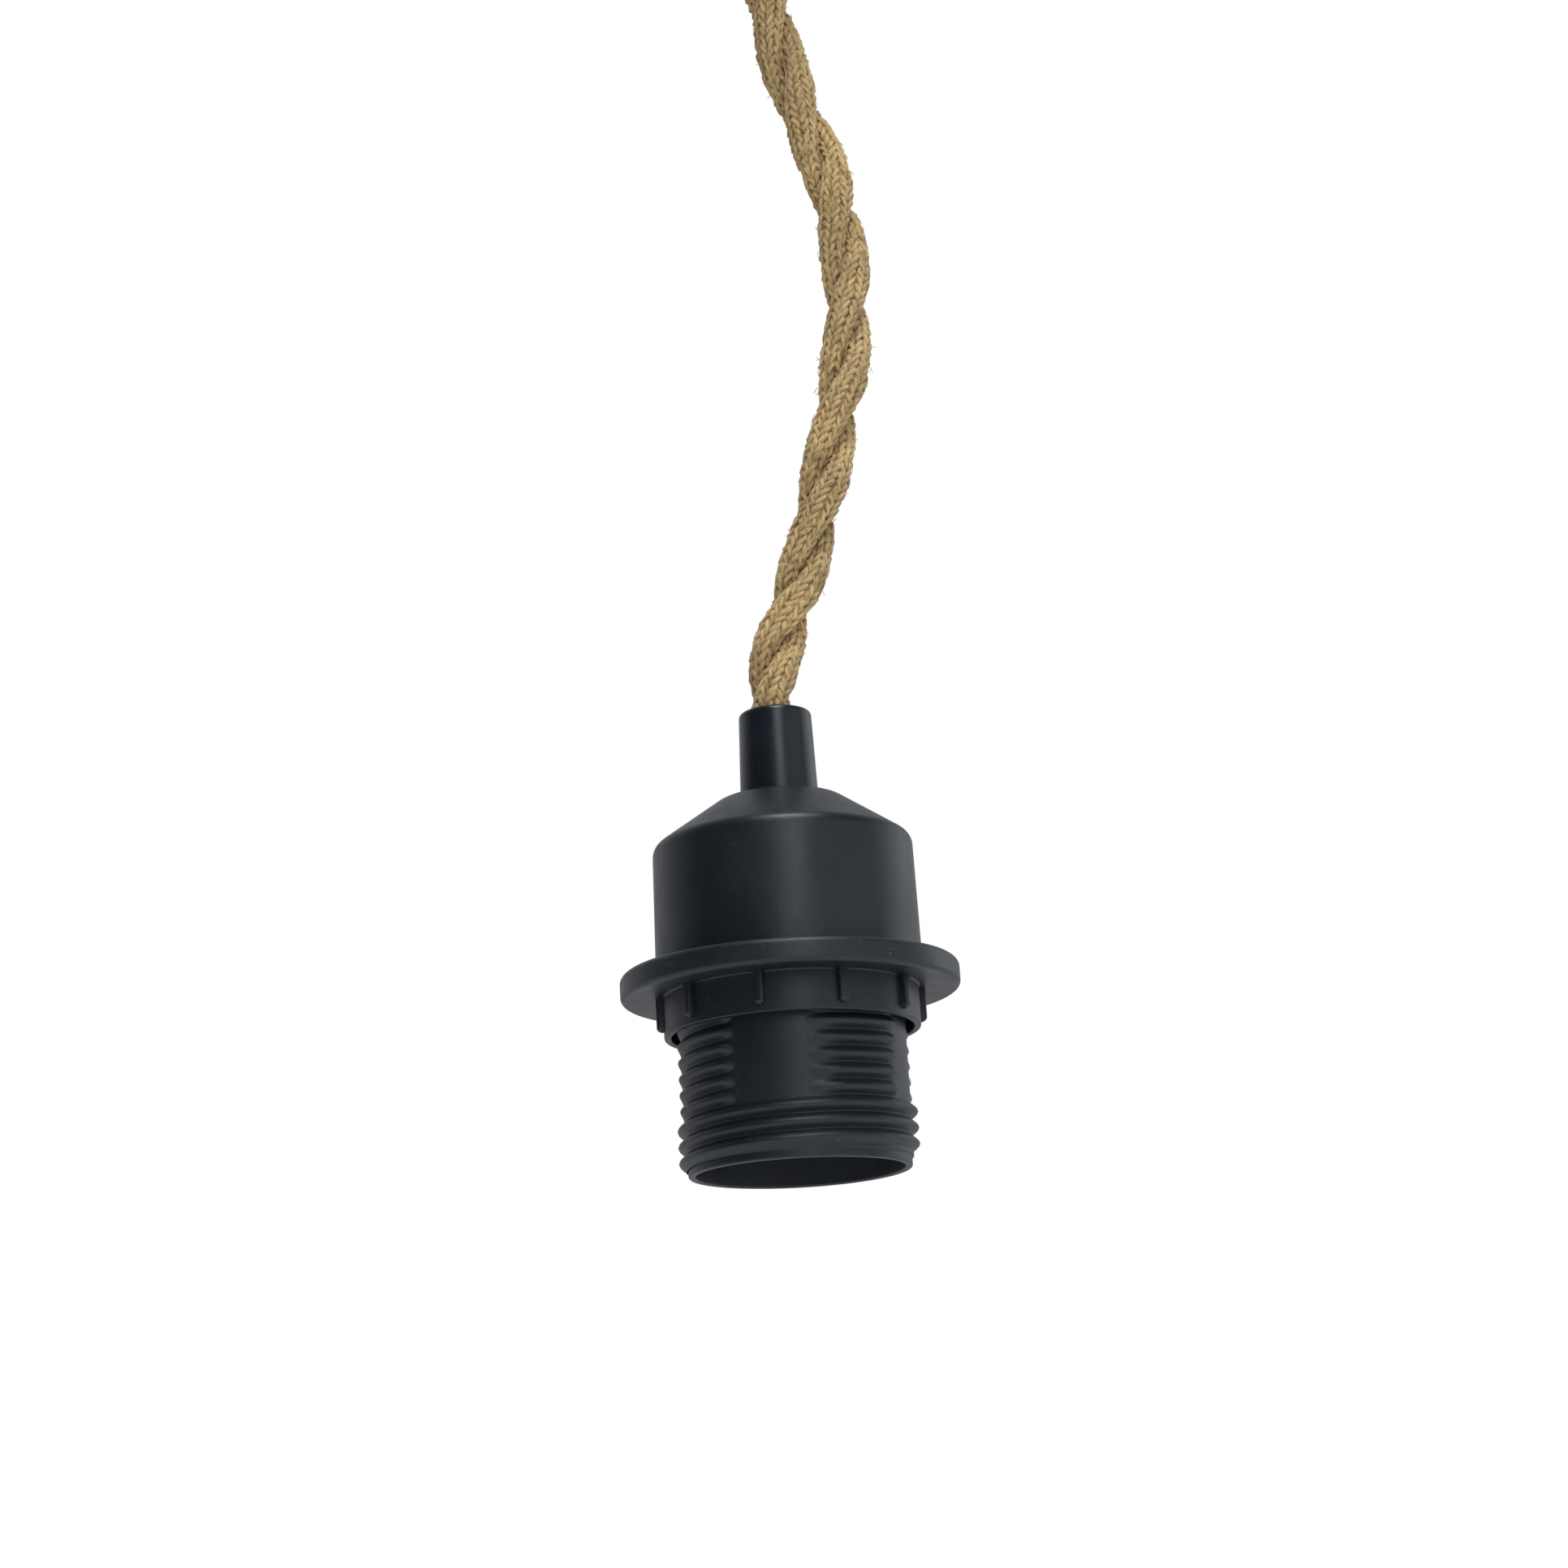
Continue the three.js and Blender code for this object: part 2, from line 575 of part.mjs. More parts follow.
function rose() {
  const group = new THREE.Group();
  const hung = grip("rose", ROSE_WALL);
  hung.position.z = ROSE_FACE - SEAT;
  hung.rotation.x = Math.PI;
  group.add(meshOf("rose_cup", roseCup(), CHARCOAL), meshOf("rose_crossbar", crossbar(), ZINC), hung);
  for (const [side, x] of [
    ["left", -CUP_SCREW_CENTRE],
    ["right", CUP_SCREW_CENTRE],
  ])
    group.add(stand(meshOf(`cup_screw_${side}`, cupScrew(), ZINC), [x, 0, ROSE_FACE - SEAT], [Math.PI, 0, 0]));

  const strip = new THREE.Group();
  strip.position.set(0, -STRIP_BACK, STRIP_BASE);
  const axis = STRIP_BASE_HEIGHT / 2;
  const headSeat = axis + TUBE_RADIUS + SEAT;
  strip.add(
    meshOf("terminal_strip", terminalStrip(), CREAM),
    stand(meshOf("strip_fixing_screw", clampScrew(STRIP_BASE_HEIGHT + STRIP_BOSS_HEIGHT), ZINC), [
      0,
      0,
      STRIP_BASE_HEIGHT + SEAT,
    ]),
  );
  for (const [pole, x] of POLES) {
    strip.add(stand(meshOf(`strip_tube_${pole}`, stripTube(), BRASS), [x, 0, axis]));
    for (const [place, y] of CLAMP_PLACES) {
      const length = headSeat - axis - WIRE_CORE_RADIUS - SEAT;
      strip.add(stand(meshOf(`strip_screw_${pole}_${place}`, clampScrew(length), ZINC), [x, y, headSeat]));
    }
  }
  group.add(strip);

  const stubTop = ROSE_FACE - SEAT + STUB_LENGTH;
  const sheathEnd = -STRIP_BACK + TUBE_LENGTH / 2 + SEAT;
  for (const [pole, poleX, finish] of POLES) {
    const x = (Math.sign(poleX) * WIRE_APART) / 2;
    const across = poleX - x;
    const route = [
      [x, 0, ROSE_FACE - SEAT - CORD_SEAT + SEAT],
      [x, 0, (ROSE_FACE + stubTop) / 2],
      [x, 0, stubTop],
      ...ROSE_WIRE_WAY.map(([aside, ahead, rise]) => [x + aside * across, ahead * sheathEnd, stubTop + rise]),
      [poleX, 0.85 * sheathEnd, POLE_HEIGHT],
      [poleX, sheathEnd, POLE_HEIGHT],
    ].map((point) => new THREE.Vector3(...point));
    group.add(meshOf(`rose_wire_${pole}`, wire(route, [0, -1, 0]), finish));
  }
  return group;
}

// Holder: zero height is the skirt's mouth

function skirt() {
  const landBase = RING_TOP + LAND_GAP;
  const core = SKIRT_RADIUS - THREAD_SINK;
  const sleeveRadius = LAMP_THREAD_RADIUS + SLEEVE_WALL;
  const sleeveBore = LAMP_CREST_RADIUS - THREAD_SINK;
  const lip = [LIP_RADIUS, 0];
  const body = turned(
    [
      [MOUTH_BORE_RADIUS, 0],
      ...rounded([MOUTH_BORE_RADIUS, 0], lip, [LIP_RADIUS, LIP_HEIGHT], LIP_ROUND),
      [LIP_RADIUS, LIP_HEIGHT],
      [core, LIP_HEIGHT],
      [core, landBase],
      [THREAD_RADIUS, landBase],
      [THREAD_RADIUS, SKIRT_HEIGHT],
      [MOUTH_BORE_RADIUS, SKIRT_HEIGHT],
      [MOUTH_BORE_RADIUS, SLEEVE_FLOOR + SLEEVE_WALL],
      [sleeveRadius, SLEEVE_FLOOR + SLEEVE_WALL],
      [sleeveRadius, SLEEVE_TOP],
      [sleeveBore, SLEEVE_TOP],
      [sleeveBore, SLEEVE_FLOOR + SLEEVE_FUNNEL],
      [LAMP_THREAD_RADIUS + SLEEVE_FUNNEL, SLEEVE_FLOOR],
      [MOUTH_BORE_RADIUS, SLEEVE_FLOOR],
    ],
    LARGE_ROUND,
  );
  const plainBase = THREAD_START + THREAD_FULL_TURNS * THREAD_PITCH;
  const isPlain = (turn, height) =>
    height > plainBase &&
    PLAIN_STRIPS.some(([from, to]) => {
      const past = THREE.MathUtils.euclideanModulo(THREE.MathUtils.radToDeg(turn) + 90 - from, 360);
      return past < to - from;
    });
  const thread = threadedRod({
    rootRadius: SKIRT_RADIUS,
    crestRadius: THREAD_RADIUS,
    ridge: THREAD_RIDGE,
    pitch: THREAD_PITCH,
    start: THREAD_START - THREAD_PITCH,
    turns: (landBase - THREAD_START) / THREAD_PITCH + 1,
    facets: LARGE_ROUND,
    isPlain,
  });
  const overlap = { facets: LARGE_ROUND };
  const outside = thread
    .intersect(rod(2 * THREAD_RADIUS, LIP_HEIGHT, landBase + THREAD_SINK, overlap))
    .subtract(rod((core + MOUTH_BORE_RADIUS) / 2, 0, SKIRT_HEIGHT, overlap));
  const lampThread = threadedRod({
    rootRadius: LAMP_CREST_RADIUS,
    crestRadius: LAMP_THREAD_RADIUS,
    ridge: LAMP_RIDGE,
    pitch: LAMP_PITCH,
    start: SLEEVE_FLOOR - 2 * LAMP_PITCH,
    turns: (SLEEVE_TOP - SLEEVE_FLOOR) / LAMP_PITCH + 3,
    facets: LARGE_ROUND / 2,
  });
  return body.add(outside).subtract(lampThread);
}

function shadeRing() {
  const underside = RING_TOP - RING_THICKNESS;
  const [top, bottom] = [
    [RING_RADIUS, RING_TOP],
    [RING_RADIUS, underside],
  ];
  const ring = turned(
    [
      [RING_BORE_RADIUS, COLLAR_BASE],
      [COLLAR_RADIUS, COLLAR_BASE],
      [COLLAR_RADIUS, underside],
      ...rounded([COLLAR_RADIUS, underside], bottom, top, RING_EDGE),
      ...rounded(bottom, top, [COLLAR_RADIUS, RING_TOP], RING_EDGE),
      [RING_LEAD_RADIUS, RING_TOP],
      [RING_BORE_RADIUS, RING_TOP - RING_LEAD_DEPTH],
    ],
    LARGE_ROUND,
  );
  const ribInner = (RING_BORE_RADIUS + COLLAR_RADIUS) / 2;
  const ribTop = underside + RING_THICKNESS / 2;
  let whole = ring;
  for (let i = 0; i < RIB_COUNT; i++) {
    const rib = block(ribInner, RIB_RADIUS, -RIB_WIDTH / 2, RIB_WIDTH / 2, COLLAR_BASE + RIB_STOP, ribTop);
    whole = whole.add(rib.rotate([0, 0, RIB_PHASE - 90 + (360 * i) / RIB_COUNT]));
  }
  return whole;
}

function cap() {
  const slope = Math.tan(radians(CAP_CONE_ANGLE));
  const crown = [CROWN_RADIUS, CROWN_HEIGHT];
  const shoulder = [CAP_SHOULDER_RADIUS, CROWN_HEIGHT - (CAP_SHOULDER_RADIUS - CROWN_RADIUS) * slope];
  const rim = [CAP_RADIUS, CAP_BASE];
  const steep = CAP_WALL / Math.cos(radians(CAP_CONE_ANGLE));
  const innerCrown = [CROWN_RADIUS - (steep - CAP_WALL) / slope, CROWN_HEIGHT - CAP_WALL];
  const innerShoulder = [RING_BORE_RADIUS, CROWN_HEIGHT - steep - (RING_BORE_RADIUS - CROWN_RADIUS) * slope];
  return turned(
    [
      [RING_BORE_RADIUS, CAP_BASE],
      rim,
      ...rounded(rim, shoulder, crown, CAP_SHOULDER_ROUND),
      ...rounded(shoulder, crown, [0, CROWN_HEIGHT], CROWN_ROUND),
      [STUB_HOLE_RADIUS, CROWN_HEIGHT],
      [STUB_HOLE_RADIUS, CROWN_HEIGHT - CAP_WALL],
      innerCrown,
      innerShoulder,
    ],
    LARGE_ROUND,
  );
}

function carrier() {
  const disc = rod(MOUTH_BORE_RADIUS - SEAT, CARRIER_BASE, CARRIER_TOP, { facets: LARGE_ROUND });
  const halfWidth = CONTACT_WIDTH / 2 + SEAT;
  const slot = (side) => {
    const edges = [side * (CONTACT_LEG + SEAT), side * (CONTACT_LEG - CONTACT_THICKNESS - SEAT)];
    const heights = [CARRIER_BASE - OVERRUN, CARRIER_TOP + OVERRUN];
    return block(Math.min(...edges), Math.max(...edges), -halfWidth, halfWidth, ...heights);
  };
  return disc.subtract(slot(-1)).subtract(slot(1));
}

// The centre contact's flat tip touches the foot of the lamp.
function centreContact() {
  const half = CONTACT_THICKNESS / 2;
  const leg = half - CONTACT_LEG;
  const under = CARRIER_BASE - SEAT - half;
  const tip = CARRIER_BASE - TIP_DROP + half;
  return bentStrip([
    [leg, CARRIER_TOP + CONTACT_RISE],
    [leg, under],
    [-CONTACT_LEG / 2, under],
    [-TIP_LENGTH / 2, tip],
    [TIP_LENGTH / 2, tip],
    [TIP_LENGTH / 2 + TIP_TURN, tip + TIP_TURN],
  ]);
}

// The shell contact runs down beside the lamp's threaded shell, clear of the sleeve's thread.
function shellContact() {
  const half = CONTACT_THICKNESS / 2;
  const leg = CONTACT_LEG - half;
  const under = CARRIER_BASE - SEAT - half;
  const side = Math.sqrt((LAMP_CREST_RADIUS - SEAT) ** 2 - (CONTACT_WIDTH / 2) ** 2) - half;
  return bentStrip([
    [leg, CARRIER_TOP + CONTACT_RISE],
    [leg, under],
    [side, under],
    [side, under - SHELL_CONTACT_LENGTH],
  ]);
}

// A terminal block: the wire comes in from above and the screw from the front.
function terminal() {
  const [halfWidth, halfDepth] = [TERMINAL_WIDTH / 2, TERMINAL_DEPTH / 2];
  const body = block(-halfWidth, halfWidth, -halfDepth, halfDepth, 0, TERMINAL_HEIGHT);
  const wireBore = rod(TERMINAL_BORE_RADIUS, TERMINAL_FLOOR, TERMINAL_HEIGHT + OVERRUN);
  const screwBore = rodAlongY(TERMINAL_SCREW_RADIUS + SEAT, -2 * halfDepth, 0, { z: TERMINAL_HEIGHT / 2 });
  return body.subtract(wireBore).subtract(screwBore);
}

function terminalScrew() {
  return screw({
    radius: TERMINAL_SCREW_RADIUS,
    length: TERMINAL_DEPTH / 2 - WIRE_CORE_RADIUS,
    headRadius: TERMINAL_SCREW_HEAD_RADIUS,
    headHeight: TERMINAL_SCREW_HEAD_HEIGHT,
  });
}

function holder() {
  const group = new THREE.Group();
  const top = grip("holder", CAP_WALL);
  top.position.z = CROWN_HEIGHT + SEAT;
  group.add(
    top,
    meshOf("holder_cap", cap(), CHARCOAL),
    meshOf("holder_skirt", skirt(), CHARCOAL),
    meshOf("shade_ring", shadeRing(), CHARCOAL),
    meshOf("contact_carrier", carrier(), CREAM),
    meshOf("centre_contact", centreContact(), BRASS),
    meshOf("shell_contact", shellContact(), BRASS),
  );
  const cordEnd = CROWN_HEIGHT + SEAT + CORD_SEAT;
  const stubEnd = CROWN_HEIGHT + SEAT - STUB_LENGTH;
  const sheathEnd = TERMINAL_BASE + TERMINAL_HEIGHT + SEAT;
  for (const [pole, side, finish] of [
    ["live", -1, BROWN],
    ["neutral", 1, BLUE],
  ]) {
    const x = side * TERMINAL_CENTRE;
    group.add(
      stand(meshOf(`terminal_${pole}`, terminal(), BRASS), [x, 0, TERMINAL_BASE]),
      stand(
        meshOf(`terminal_screw_${pole}`, terminalScrew(), ZINC),
        [x, -TERMINAL_DEPTH / 2 - SEAT, TERMINAL_BASE + TERMINAL_HEIGHT / 2],
        [Math.PI / 2, 0, 0],
      ),
    );
    const start = (side * WIRE_APART) / 2;
    const route = [
      [start, 0, cordEnd - SEAT],
      [start, 0, (cordEnd + stubEnd) / 2],
      [start, 0, stubEnd],
      ...HOLDER_WIRE_WAY.map(([aside, down]) => [
        start + aside * (x - start),
        0,
        stubEnd + down * (sheathEnd - stubEnd),
      ]),
      [x, 0, sheathEnd],
    ].map((point) => new THREE.Vector3(...point));
    group.add(meshOf(`holder_wire_${pole}`, wire(route, [0, 0, -1]), finish));
  }
  return group;
}

// The whole set: the cord hangs from the rose's grip, and the holder from the cord's lower end

const pendant = new THREE.Group();
const hanging = new THREE.Group();
hanging.position.z = ROSE_FACE - SEAT - CORD_SEAT;
const lower = holder();
lower.position.z = CORD_ROUTE[CORD_ROUTE.length - 1].z - CORD_SEAT - SEAT - CROWN_HEIGHT;
hanging.add(meshOf("cord", tube(CORD_ROUTE, CORD_RADIUS, CORD_SIDES, CORD_STEPS), JUTE), lower);
pendant.add(rose(), hanging);

export default pendant;
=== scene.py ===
# %% [markdown]
# # A pendant cord set
#
# This lesson dresses a ceiling pendant: a lampholder of charcoal plastic on a cord of two twisted strands,
# each in a knitted jute cover, under a small ceiling rose. The solid parts are already made at their real
# size and place. Here they get what the eye sees: soft edges, a real thread, yarn, brass and light.
# Everything is in metres, +Z is up, and the origin is the middle of the rose's ceiling face.

from math import cos, pi, radians, sin, tan

import bmesh
import bpy
from mathutils import Matrix, Vector


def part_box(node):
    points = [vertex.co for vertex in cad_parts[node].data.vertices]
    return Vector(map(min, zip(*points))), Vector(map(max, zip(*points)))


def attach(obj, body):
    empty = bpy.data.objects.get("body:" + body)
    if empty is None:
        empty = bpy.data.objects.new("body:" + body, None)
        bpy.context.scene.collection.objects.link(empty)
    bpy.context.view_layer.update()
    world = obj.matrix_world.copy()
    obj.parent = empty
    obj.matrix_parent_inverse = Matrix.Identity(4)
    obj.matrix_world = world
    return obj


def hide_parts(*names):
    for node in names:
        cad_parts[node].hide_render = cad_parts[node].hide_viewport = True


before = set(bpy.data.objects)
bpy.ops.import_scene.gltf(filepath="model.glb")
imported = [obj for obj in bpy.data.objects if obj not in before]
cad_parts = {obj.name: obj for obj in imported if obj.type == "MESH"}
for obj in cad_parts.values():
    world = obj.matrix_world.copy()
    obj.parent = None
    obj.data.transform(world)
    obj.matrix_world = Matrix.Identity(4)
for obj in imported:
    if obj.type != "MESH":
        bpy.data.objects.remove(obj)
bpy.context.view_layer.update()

MM = 0.001
FULL_TURN = 2 * pi
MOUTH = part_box("holder_skirt")[0][2]  # height of the lampholder's open end

# %% [markdown]
# ## The camera
#
# The photograph was taken from about half a metre, from a little below the holder and tipped upwards, so
# that the ring and the dark mouth are seen from underneath. The camera is placed from the mouth, because
# that is where the photograph's perspective was measured.

# %% Camera
CAMERA_BACK = 0.517875
CAMERA_BELOW_MOUTH = 0.071423
CAMERA_PAN, CAMERA_TILT, CAMERA_ROLL = -0.10, 14.97, -3.286  # degrees; the tilt is upwards from level
CAMERA_LENS, CAMERA_SENSOR = 71.6, 36.0  # millimetres


def add_object(name, data):
    thing = bpy.data.objects.new(name, data)
    bpy.context.scene.collection.objects.link(thing)
    return thing


def add_camera():
    data = bpy.data.cameras.new("camera")
    data.lens = CAMERA_LENS
    data.sensor_width = CAMERA_SENSOR
    camera = add_object("camera", data)
    turn = Matrix.Rotation(radians(CAMERA_PAN), 4, "Z")
    turn @= Matrix.Rotation(radians(90 + CAMERA_TILT), 4, "X")
    turn @= Matrix.Rotation(radians(CAMERA_ROLL), 4, "Z")
    place = Matrix.Translation((0, -CAMERA_BACK, MOUTH - CAMERA_BELOW_MOUTH))
    camera.matrix_world = place @ turn
    bpy.context.scene.camera = camera
    return camera


camera = add_camera()
print("camera at", [round(value, 3) for value in camera.matrix_world.translation])

# %% [markdown]
# ## Helpers for node trees
#
# Geometry Nodes and shader groups are both written here as short lines of code. One helper adds a node,
# sets its plain values and links its sockets. What flows out of a node is wrapped, so that a sum reads as
# a formula: each plus, minus or times sign adds the Math or Vector Math node that works it out.


# %% Flows between nodes
class Flow:
    """What flows out of a node. Arithmetic on it adds the node that works it out."""

    def __init__(self, socket):
        self.socket = socket
        self.tree = socket.id_data
        self.is_vector = socket.type in ("VECTOR", "RGBA")

    def step(self, operation, *others):
        """What a Math or Vector Math node makes of this flow and the others."""
        kind = "ShaderNodeVectorMath" if self.is_vector else "ShaderNodeMath"
        return made(self.tree, kind, enumerate([self, *others]), operation=operation)

    def __add__(self, other):
        return self.step("ADD", other)

    def __sub__(self, other):
        return self.step("SUBTRACT", other)

    def __mul__(self, other):
        """Times a vector, part by part, or times a single number or flow, which scales a vector."""
        if self.is_vector and not (isinstance(other, tuple) or getattr(other, "is_vector", False)):
            return made(self.tree, "ShaderNodeVectorMath", {0: self, "Scale": other}, operation="SCALE")
        return self.step("MULTIPLY", other)

    def __truediv__(self, other):
        return self.step("DIVIDE", other)

    def __pow__(self, other):
        return self.step("POWER", other)

    def __rsub__(self, number):
        return made(self.tree, "ShaderNodeMath", {0: number, 1: self}, operation="SUBTRACT")

    def __rtruediv__(self, number):
        return made(self.tree, "ShaderNodeMath", {0: number, 1: self}, operation="DIVIDE")


# %% Adding nodes
def set_input(socket, value):
    if isinstance(value, Flow):
        socket.id_data.links.new(value.socket, socket)
    elif value is not None:
        socket.default_value = value


def feed(sockets, **values):
    """Sets or links several sockets of one node, by their names."""
    for label, value in values.items():
        set_input(sockets[label.replace("_", " ")], value)


def in_use(sockets, name):
    """The first socket that is in use, of those with that name if there is one."""
    return next(s for s in sockets if s.enabled and name in (None, s.name))


def add_node(tree, kind, inputs=(), **settings):
    """A node of that kind. inputs pairs a socket's name or number with a value or a flow."""
    node = tree.nodes.new(kind)
    for name, value in settings.items():
        setattr(node, name, value)
    for key, value in dict(inputs).items():
        set_input(node.inputs[key] if isinstance(key, int) else in_use(node.inputs, key), value)
    return node


def output(node, name=None):
    return Flow(in_use(node.outputs, name))


def made(tree, kind, inputs=(), part=None, **settings):
    """What flows out of a new node, or out of one part of it."""
    return output(add_node(tree, kind, inputs, **settings), part)


def vector(tree, x=0.0, y=0.0, z=0.0):
    return made(tree, "ShaderNodeCombineXYZ", {"X": x, "Y": y, "Z": z})


# %% Groups and trees
SOCKET_KINDS = {int: "Int", float: "Float", tuple: "Color", str: "Material"}


def new_group(name, outputs, kind="ShaderNodeTree", **inputs):
    """A node group. Each input's type follows from its value, and "material" stands for a material."""
    group = bpy.data.node_groups.new(name, kind)
    new_socket = group.interface.new_socket
    if "Geometry" in outputs:
        new_socket("Geometry", in_out="INPUT", socket_type="NodeSocketGeometry")
    for label, value in inputs.items():
        socket_type = "NodeSocket" + SOCKET_KINDS[type(value)]
        socket = new_socket(label.replace("_", " "), in_out="INPUT", socket_type=socket_type)
        if value != "material":
            socket.default_value = value
    for label, flow_kind in outputs.items():
        new_socket(label, in_out="OUTPUT", socket_type="NodeSocket" + flow_kind)
    start = {socket.name: Flow(socket) for socket in group.nodes.new("NodeGroupInput").outputs}
    return group, start, group.nodes.new("NodeGroupOutput").inputs


def new_geometry_tree(name, **inputs):
    return new_group(name, {"Geometry": "Geometry"}, "GeometryNodeTree", **inputs)


def finish_tree(geometry, end, material):
    """Ends a tree: smooth faces, real meshes in place of instances, and one material."""
    smooth = made(geometry.tree, "GeometryNodeSetShadeSmooth", {"Geometry": geometry})
    real = made(geometry.tree, "GeometryNodeRealizeInstances", {"Geometry": smooth})
    painted = made(geometry.tree, "GeometryNodeSetMaterial", {"Geometry": real, "Material": material})
    feed(end, Geometry=painted)


def mesh_from_tree(tree, name, source=None, **values):
    """Runs a tree on an object, or on an empty mesh, and gives the result as a plain mesh."""
    carrier = source or add_object(name, bpy.data.meshes.new(name + "_carrier"))
    modifier = carrier.modifiers.new(name, "NODES")
    modifier.node_group = tree
    inputs = [item for item in tree.interface.items_tree if item.in_out == "INPUT"]
    identifiers = {item.name: item.identifier for item in inputs}
    for label, value in values.items():
        modifier[identifiers[label.replace("_", " ")]] = value
    carrier.update_tag()
    graph = bpy.context.evaluated_depsgraph_get()
    mesh = bpy.data.meshes.new_from_object(carrier.evaluated_get(graph))
    mesh.name = name
    carrier.modifiers.remove(modifier)
    if not source:
        bpy.data.objects.remove(carrier)
    return mesh


print("node helpers ready")

# %% [markdown]
# ## Materials
#
# Five effects are used again and again, so each is a small shader group with named inputs: the fine skin
# of moulded plastic, the uneven shine that handling leaves, dust and scratches, the faint lines of drawn or
# stamped metal, and the fibres of jute yarn with painted shade in the gaps between its stitches. A group
# only puts out values and normals. The Principled BSDF stays in each material, where its own sockets hold
# whatever is the same all over.

# %% Patterns
NOISE_LOW, NOISE_HIGH = 0.35, 0.65  # between which a noise's value mostly lies


def object_place(tree):
    return made(tree, "ShaderNodeTexCoord", part="Object")


def noise(tree, place, scale, detail=2.0, roughness=0.5, part="Fac"):
    """A noise with that many cells to the metre, where the place is in metres."""
    values = {"Vector": place, "Scale": scale, "Detail": detail, "Roughness": roughness}
    return made(tree, "ShaderNodeTexNoise", values, part)


def remap(value, low, high, from_low=0.0, from_high=1.0, **settings):
    inputs = {"Value": value, "From Min": from_low, "From Max": from_high, "To Min": low, "To Max": high}
    return made(value.tree, "ShaderNodeMapRange", inputs, **settings)


def share_between(value, low, high, **settings):
    """How far a value has come from low to high, from 0 to 1."""
    return remap(value, 0.0, 1.0, low, high, **settings)


def smooth_share(value, low, high):
    return share_between(value, low, high, interpolation_type="SMOOTHSTEP")


def bump(height, distance, normal=None):
    return made(height.tree, "ShaderNodeBump", {"Height": height, "Distance": distance, "Normal": normal})


def mix_colour(share, first, second):
    inputs = {"Factor": share, "A": first, "B": second}
    return made(share.tree, "ShaderNodeMix", inputs, data_type="RGBA")


def attribute(tree, name, part="Fac"):
    return made(tree, "ShaderNodeAttribute", part=part, attribute_name=name)


# %% Plastic groups
SMEAR_SHARE = 0.25
SMEAR_STRETCH = (1.0, 1.0, 0.25)
SCRATCH_STRETCH = (260.0, 260.0, 3000.0)


def build_moulded_skin():
    """The skin of a plastic moulding: a fine spark-eroded texture and soft, wide unevenness under it."""
    depths = {"Grain_Depth": 0.00001, "Swell_Depth": 0.00003}
    tree, start, end = new_group("Moulded skin", {"Normal": "Vector"}, Grain_Size=0.0003, **depths)
    place = object_place(tree)
    swell = bump(noise(tree, place, scale=70.0, detail=1.0), start["Swell Depth"])
    fine = noise(tree, place, scale=1.0 / start["Grain Size"])
    feed(end, Normal=bump(fine, start["Grain Depth"], swell))
    return tree


def build_handled_shine():
    """Roughness that wanders between two values, with faint smears where fingers have been."""
    outputs = {"Roughness": "Float"}
    tree, start, end = new_group("Handled shine", outputs, Low=0.3, High=0.5, Patch_Size=0.012)
    place = object_place(tree)
    patches = noise(tree, place, scale=1.0 / start["Patch Size"], detail=3.0, roughness=0.6)
    smears = noise(tree, place * SMEAR_STRETCH, scale=900.0)
    both = patches * (1.0 - SMEAR_SHARE) + smears * SMEAR_SHARE
    feed(end, Roughness=remap(both, start["Low"], start["High"], NOISE_LOW, NOISE_HIGH))
    return tree


def build_scuffs():
    """Where dust sits and where edges have rubbed: small pale specks and short, fine scratches."""
    tree, start, end = new_group("Scuffs", {"Share": "Float"}, Amount=0.5, Speck_Size=0.0006)
    place = object_place(tree)
    specks = noise(tree, place, scale=1.0 / start["Speck Size"], detail=1.0)
    specks = share_between(specks, low=0.72, high=0.8)
    scratches = noise(tree, place * SCRATCH_STRETCH, scale=1.0, detail=1.0)
    scratches = share_between(scratches, low=0.66, high=0.78)
    scratched = share_between(noise(tree, place, scale=110.0), low=0.55, high=0.7)
    feed(end, Share=specks.step("MAXIMUM", scratches * scratched) * start["Amount"])
    return tree


moulded_skin = build_moulded_skin()
handled_shine = build_handled_shine()
scuffs = build_scuffs()
print("plastic groups:", [group.name for group in bpy.data.node_groups])

# %% Metal and jute groups
DRAWN_STRETCH = (1.0, 0.15, 1.0)
FIBRES_ACROSS = (2600.0, 2600.0, 0.0)
FIBRES_ALONG = 420.0
# how far slubs darken the yarn, and how far the painted shade in the gaps between stitches does
MOST_SLUB, MOST_GAP_SHADE = 0.7, 0.8


def build_drawn_metal():
    """Fine lines along a metal part, for its colour, its shine and its surface."""
    outputs = {"Tone": "Float", "Roughness": "Float", "Normal": "Vector"}
    sizes = {"Line_Size": 0.0001, "Depth": 0.000004}
    tree, start, end = new_group("Drawn metal", outputs, **sizes, Low=0.25, High=0.45)
    place = object_place(tree)
    lines = noise(tree, place * DRAWN_STRETCH, scale=1.0 / start["Line Size"])
    blotches = noise(tree, place, scale=260.0, detail=3.0)
    rough = remap(blotches, start["Low"], start["High"], from_low=0.3, from_high=0.7)
    tone = remap(blotches, low=0.35, high=0.65) * (lines + 0.5)
    feed(end, Tone=tone, Roughness=rough, Normal=bump(lines, start["Depth"]))
    return tree


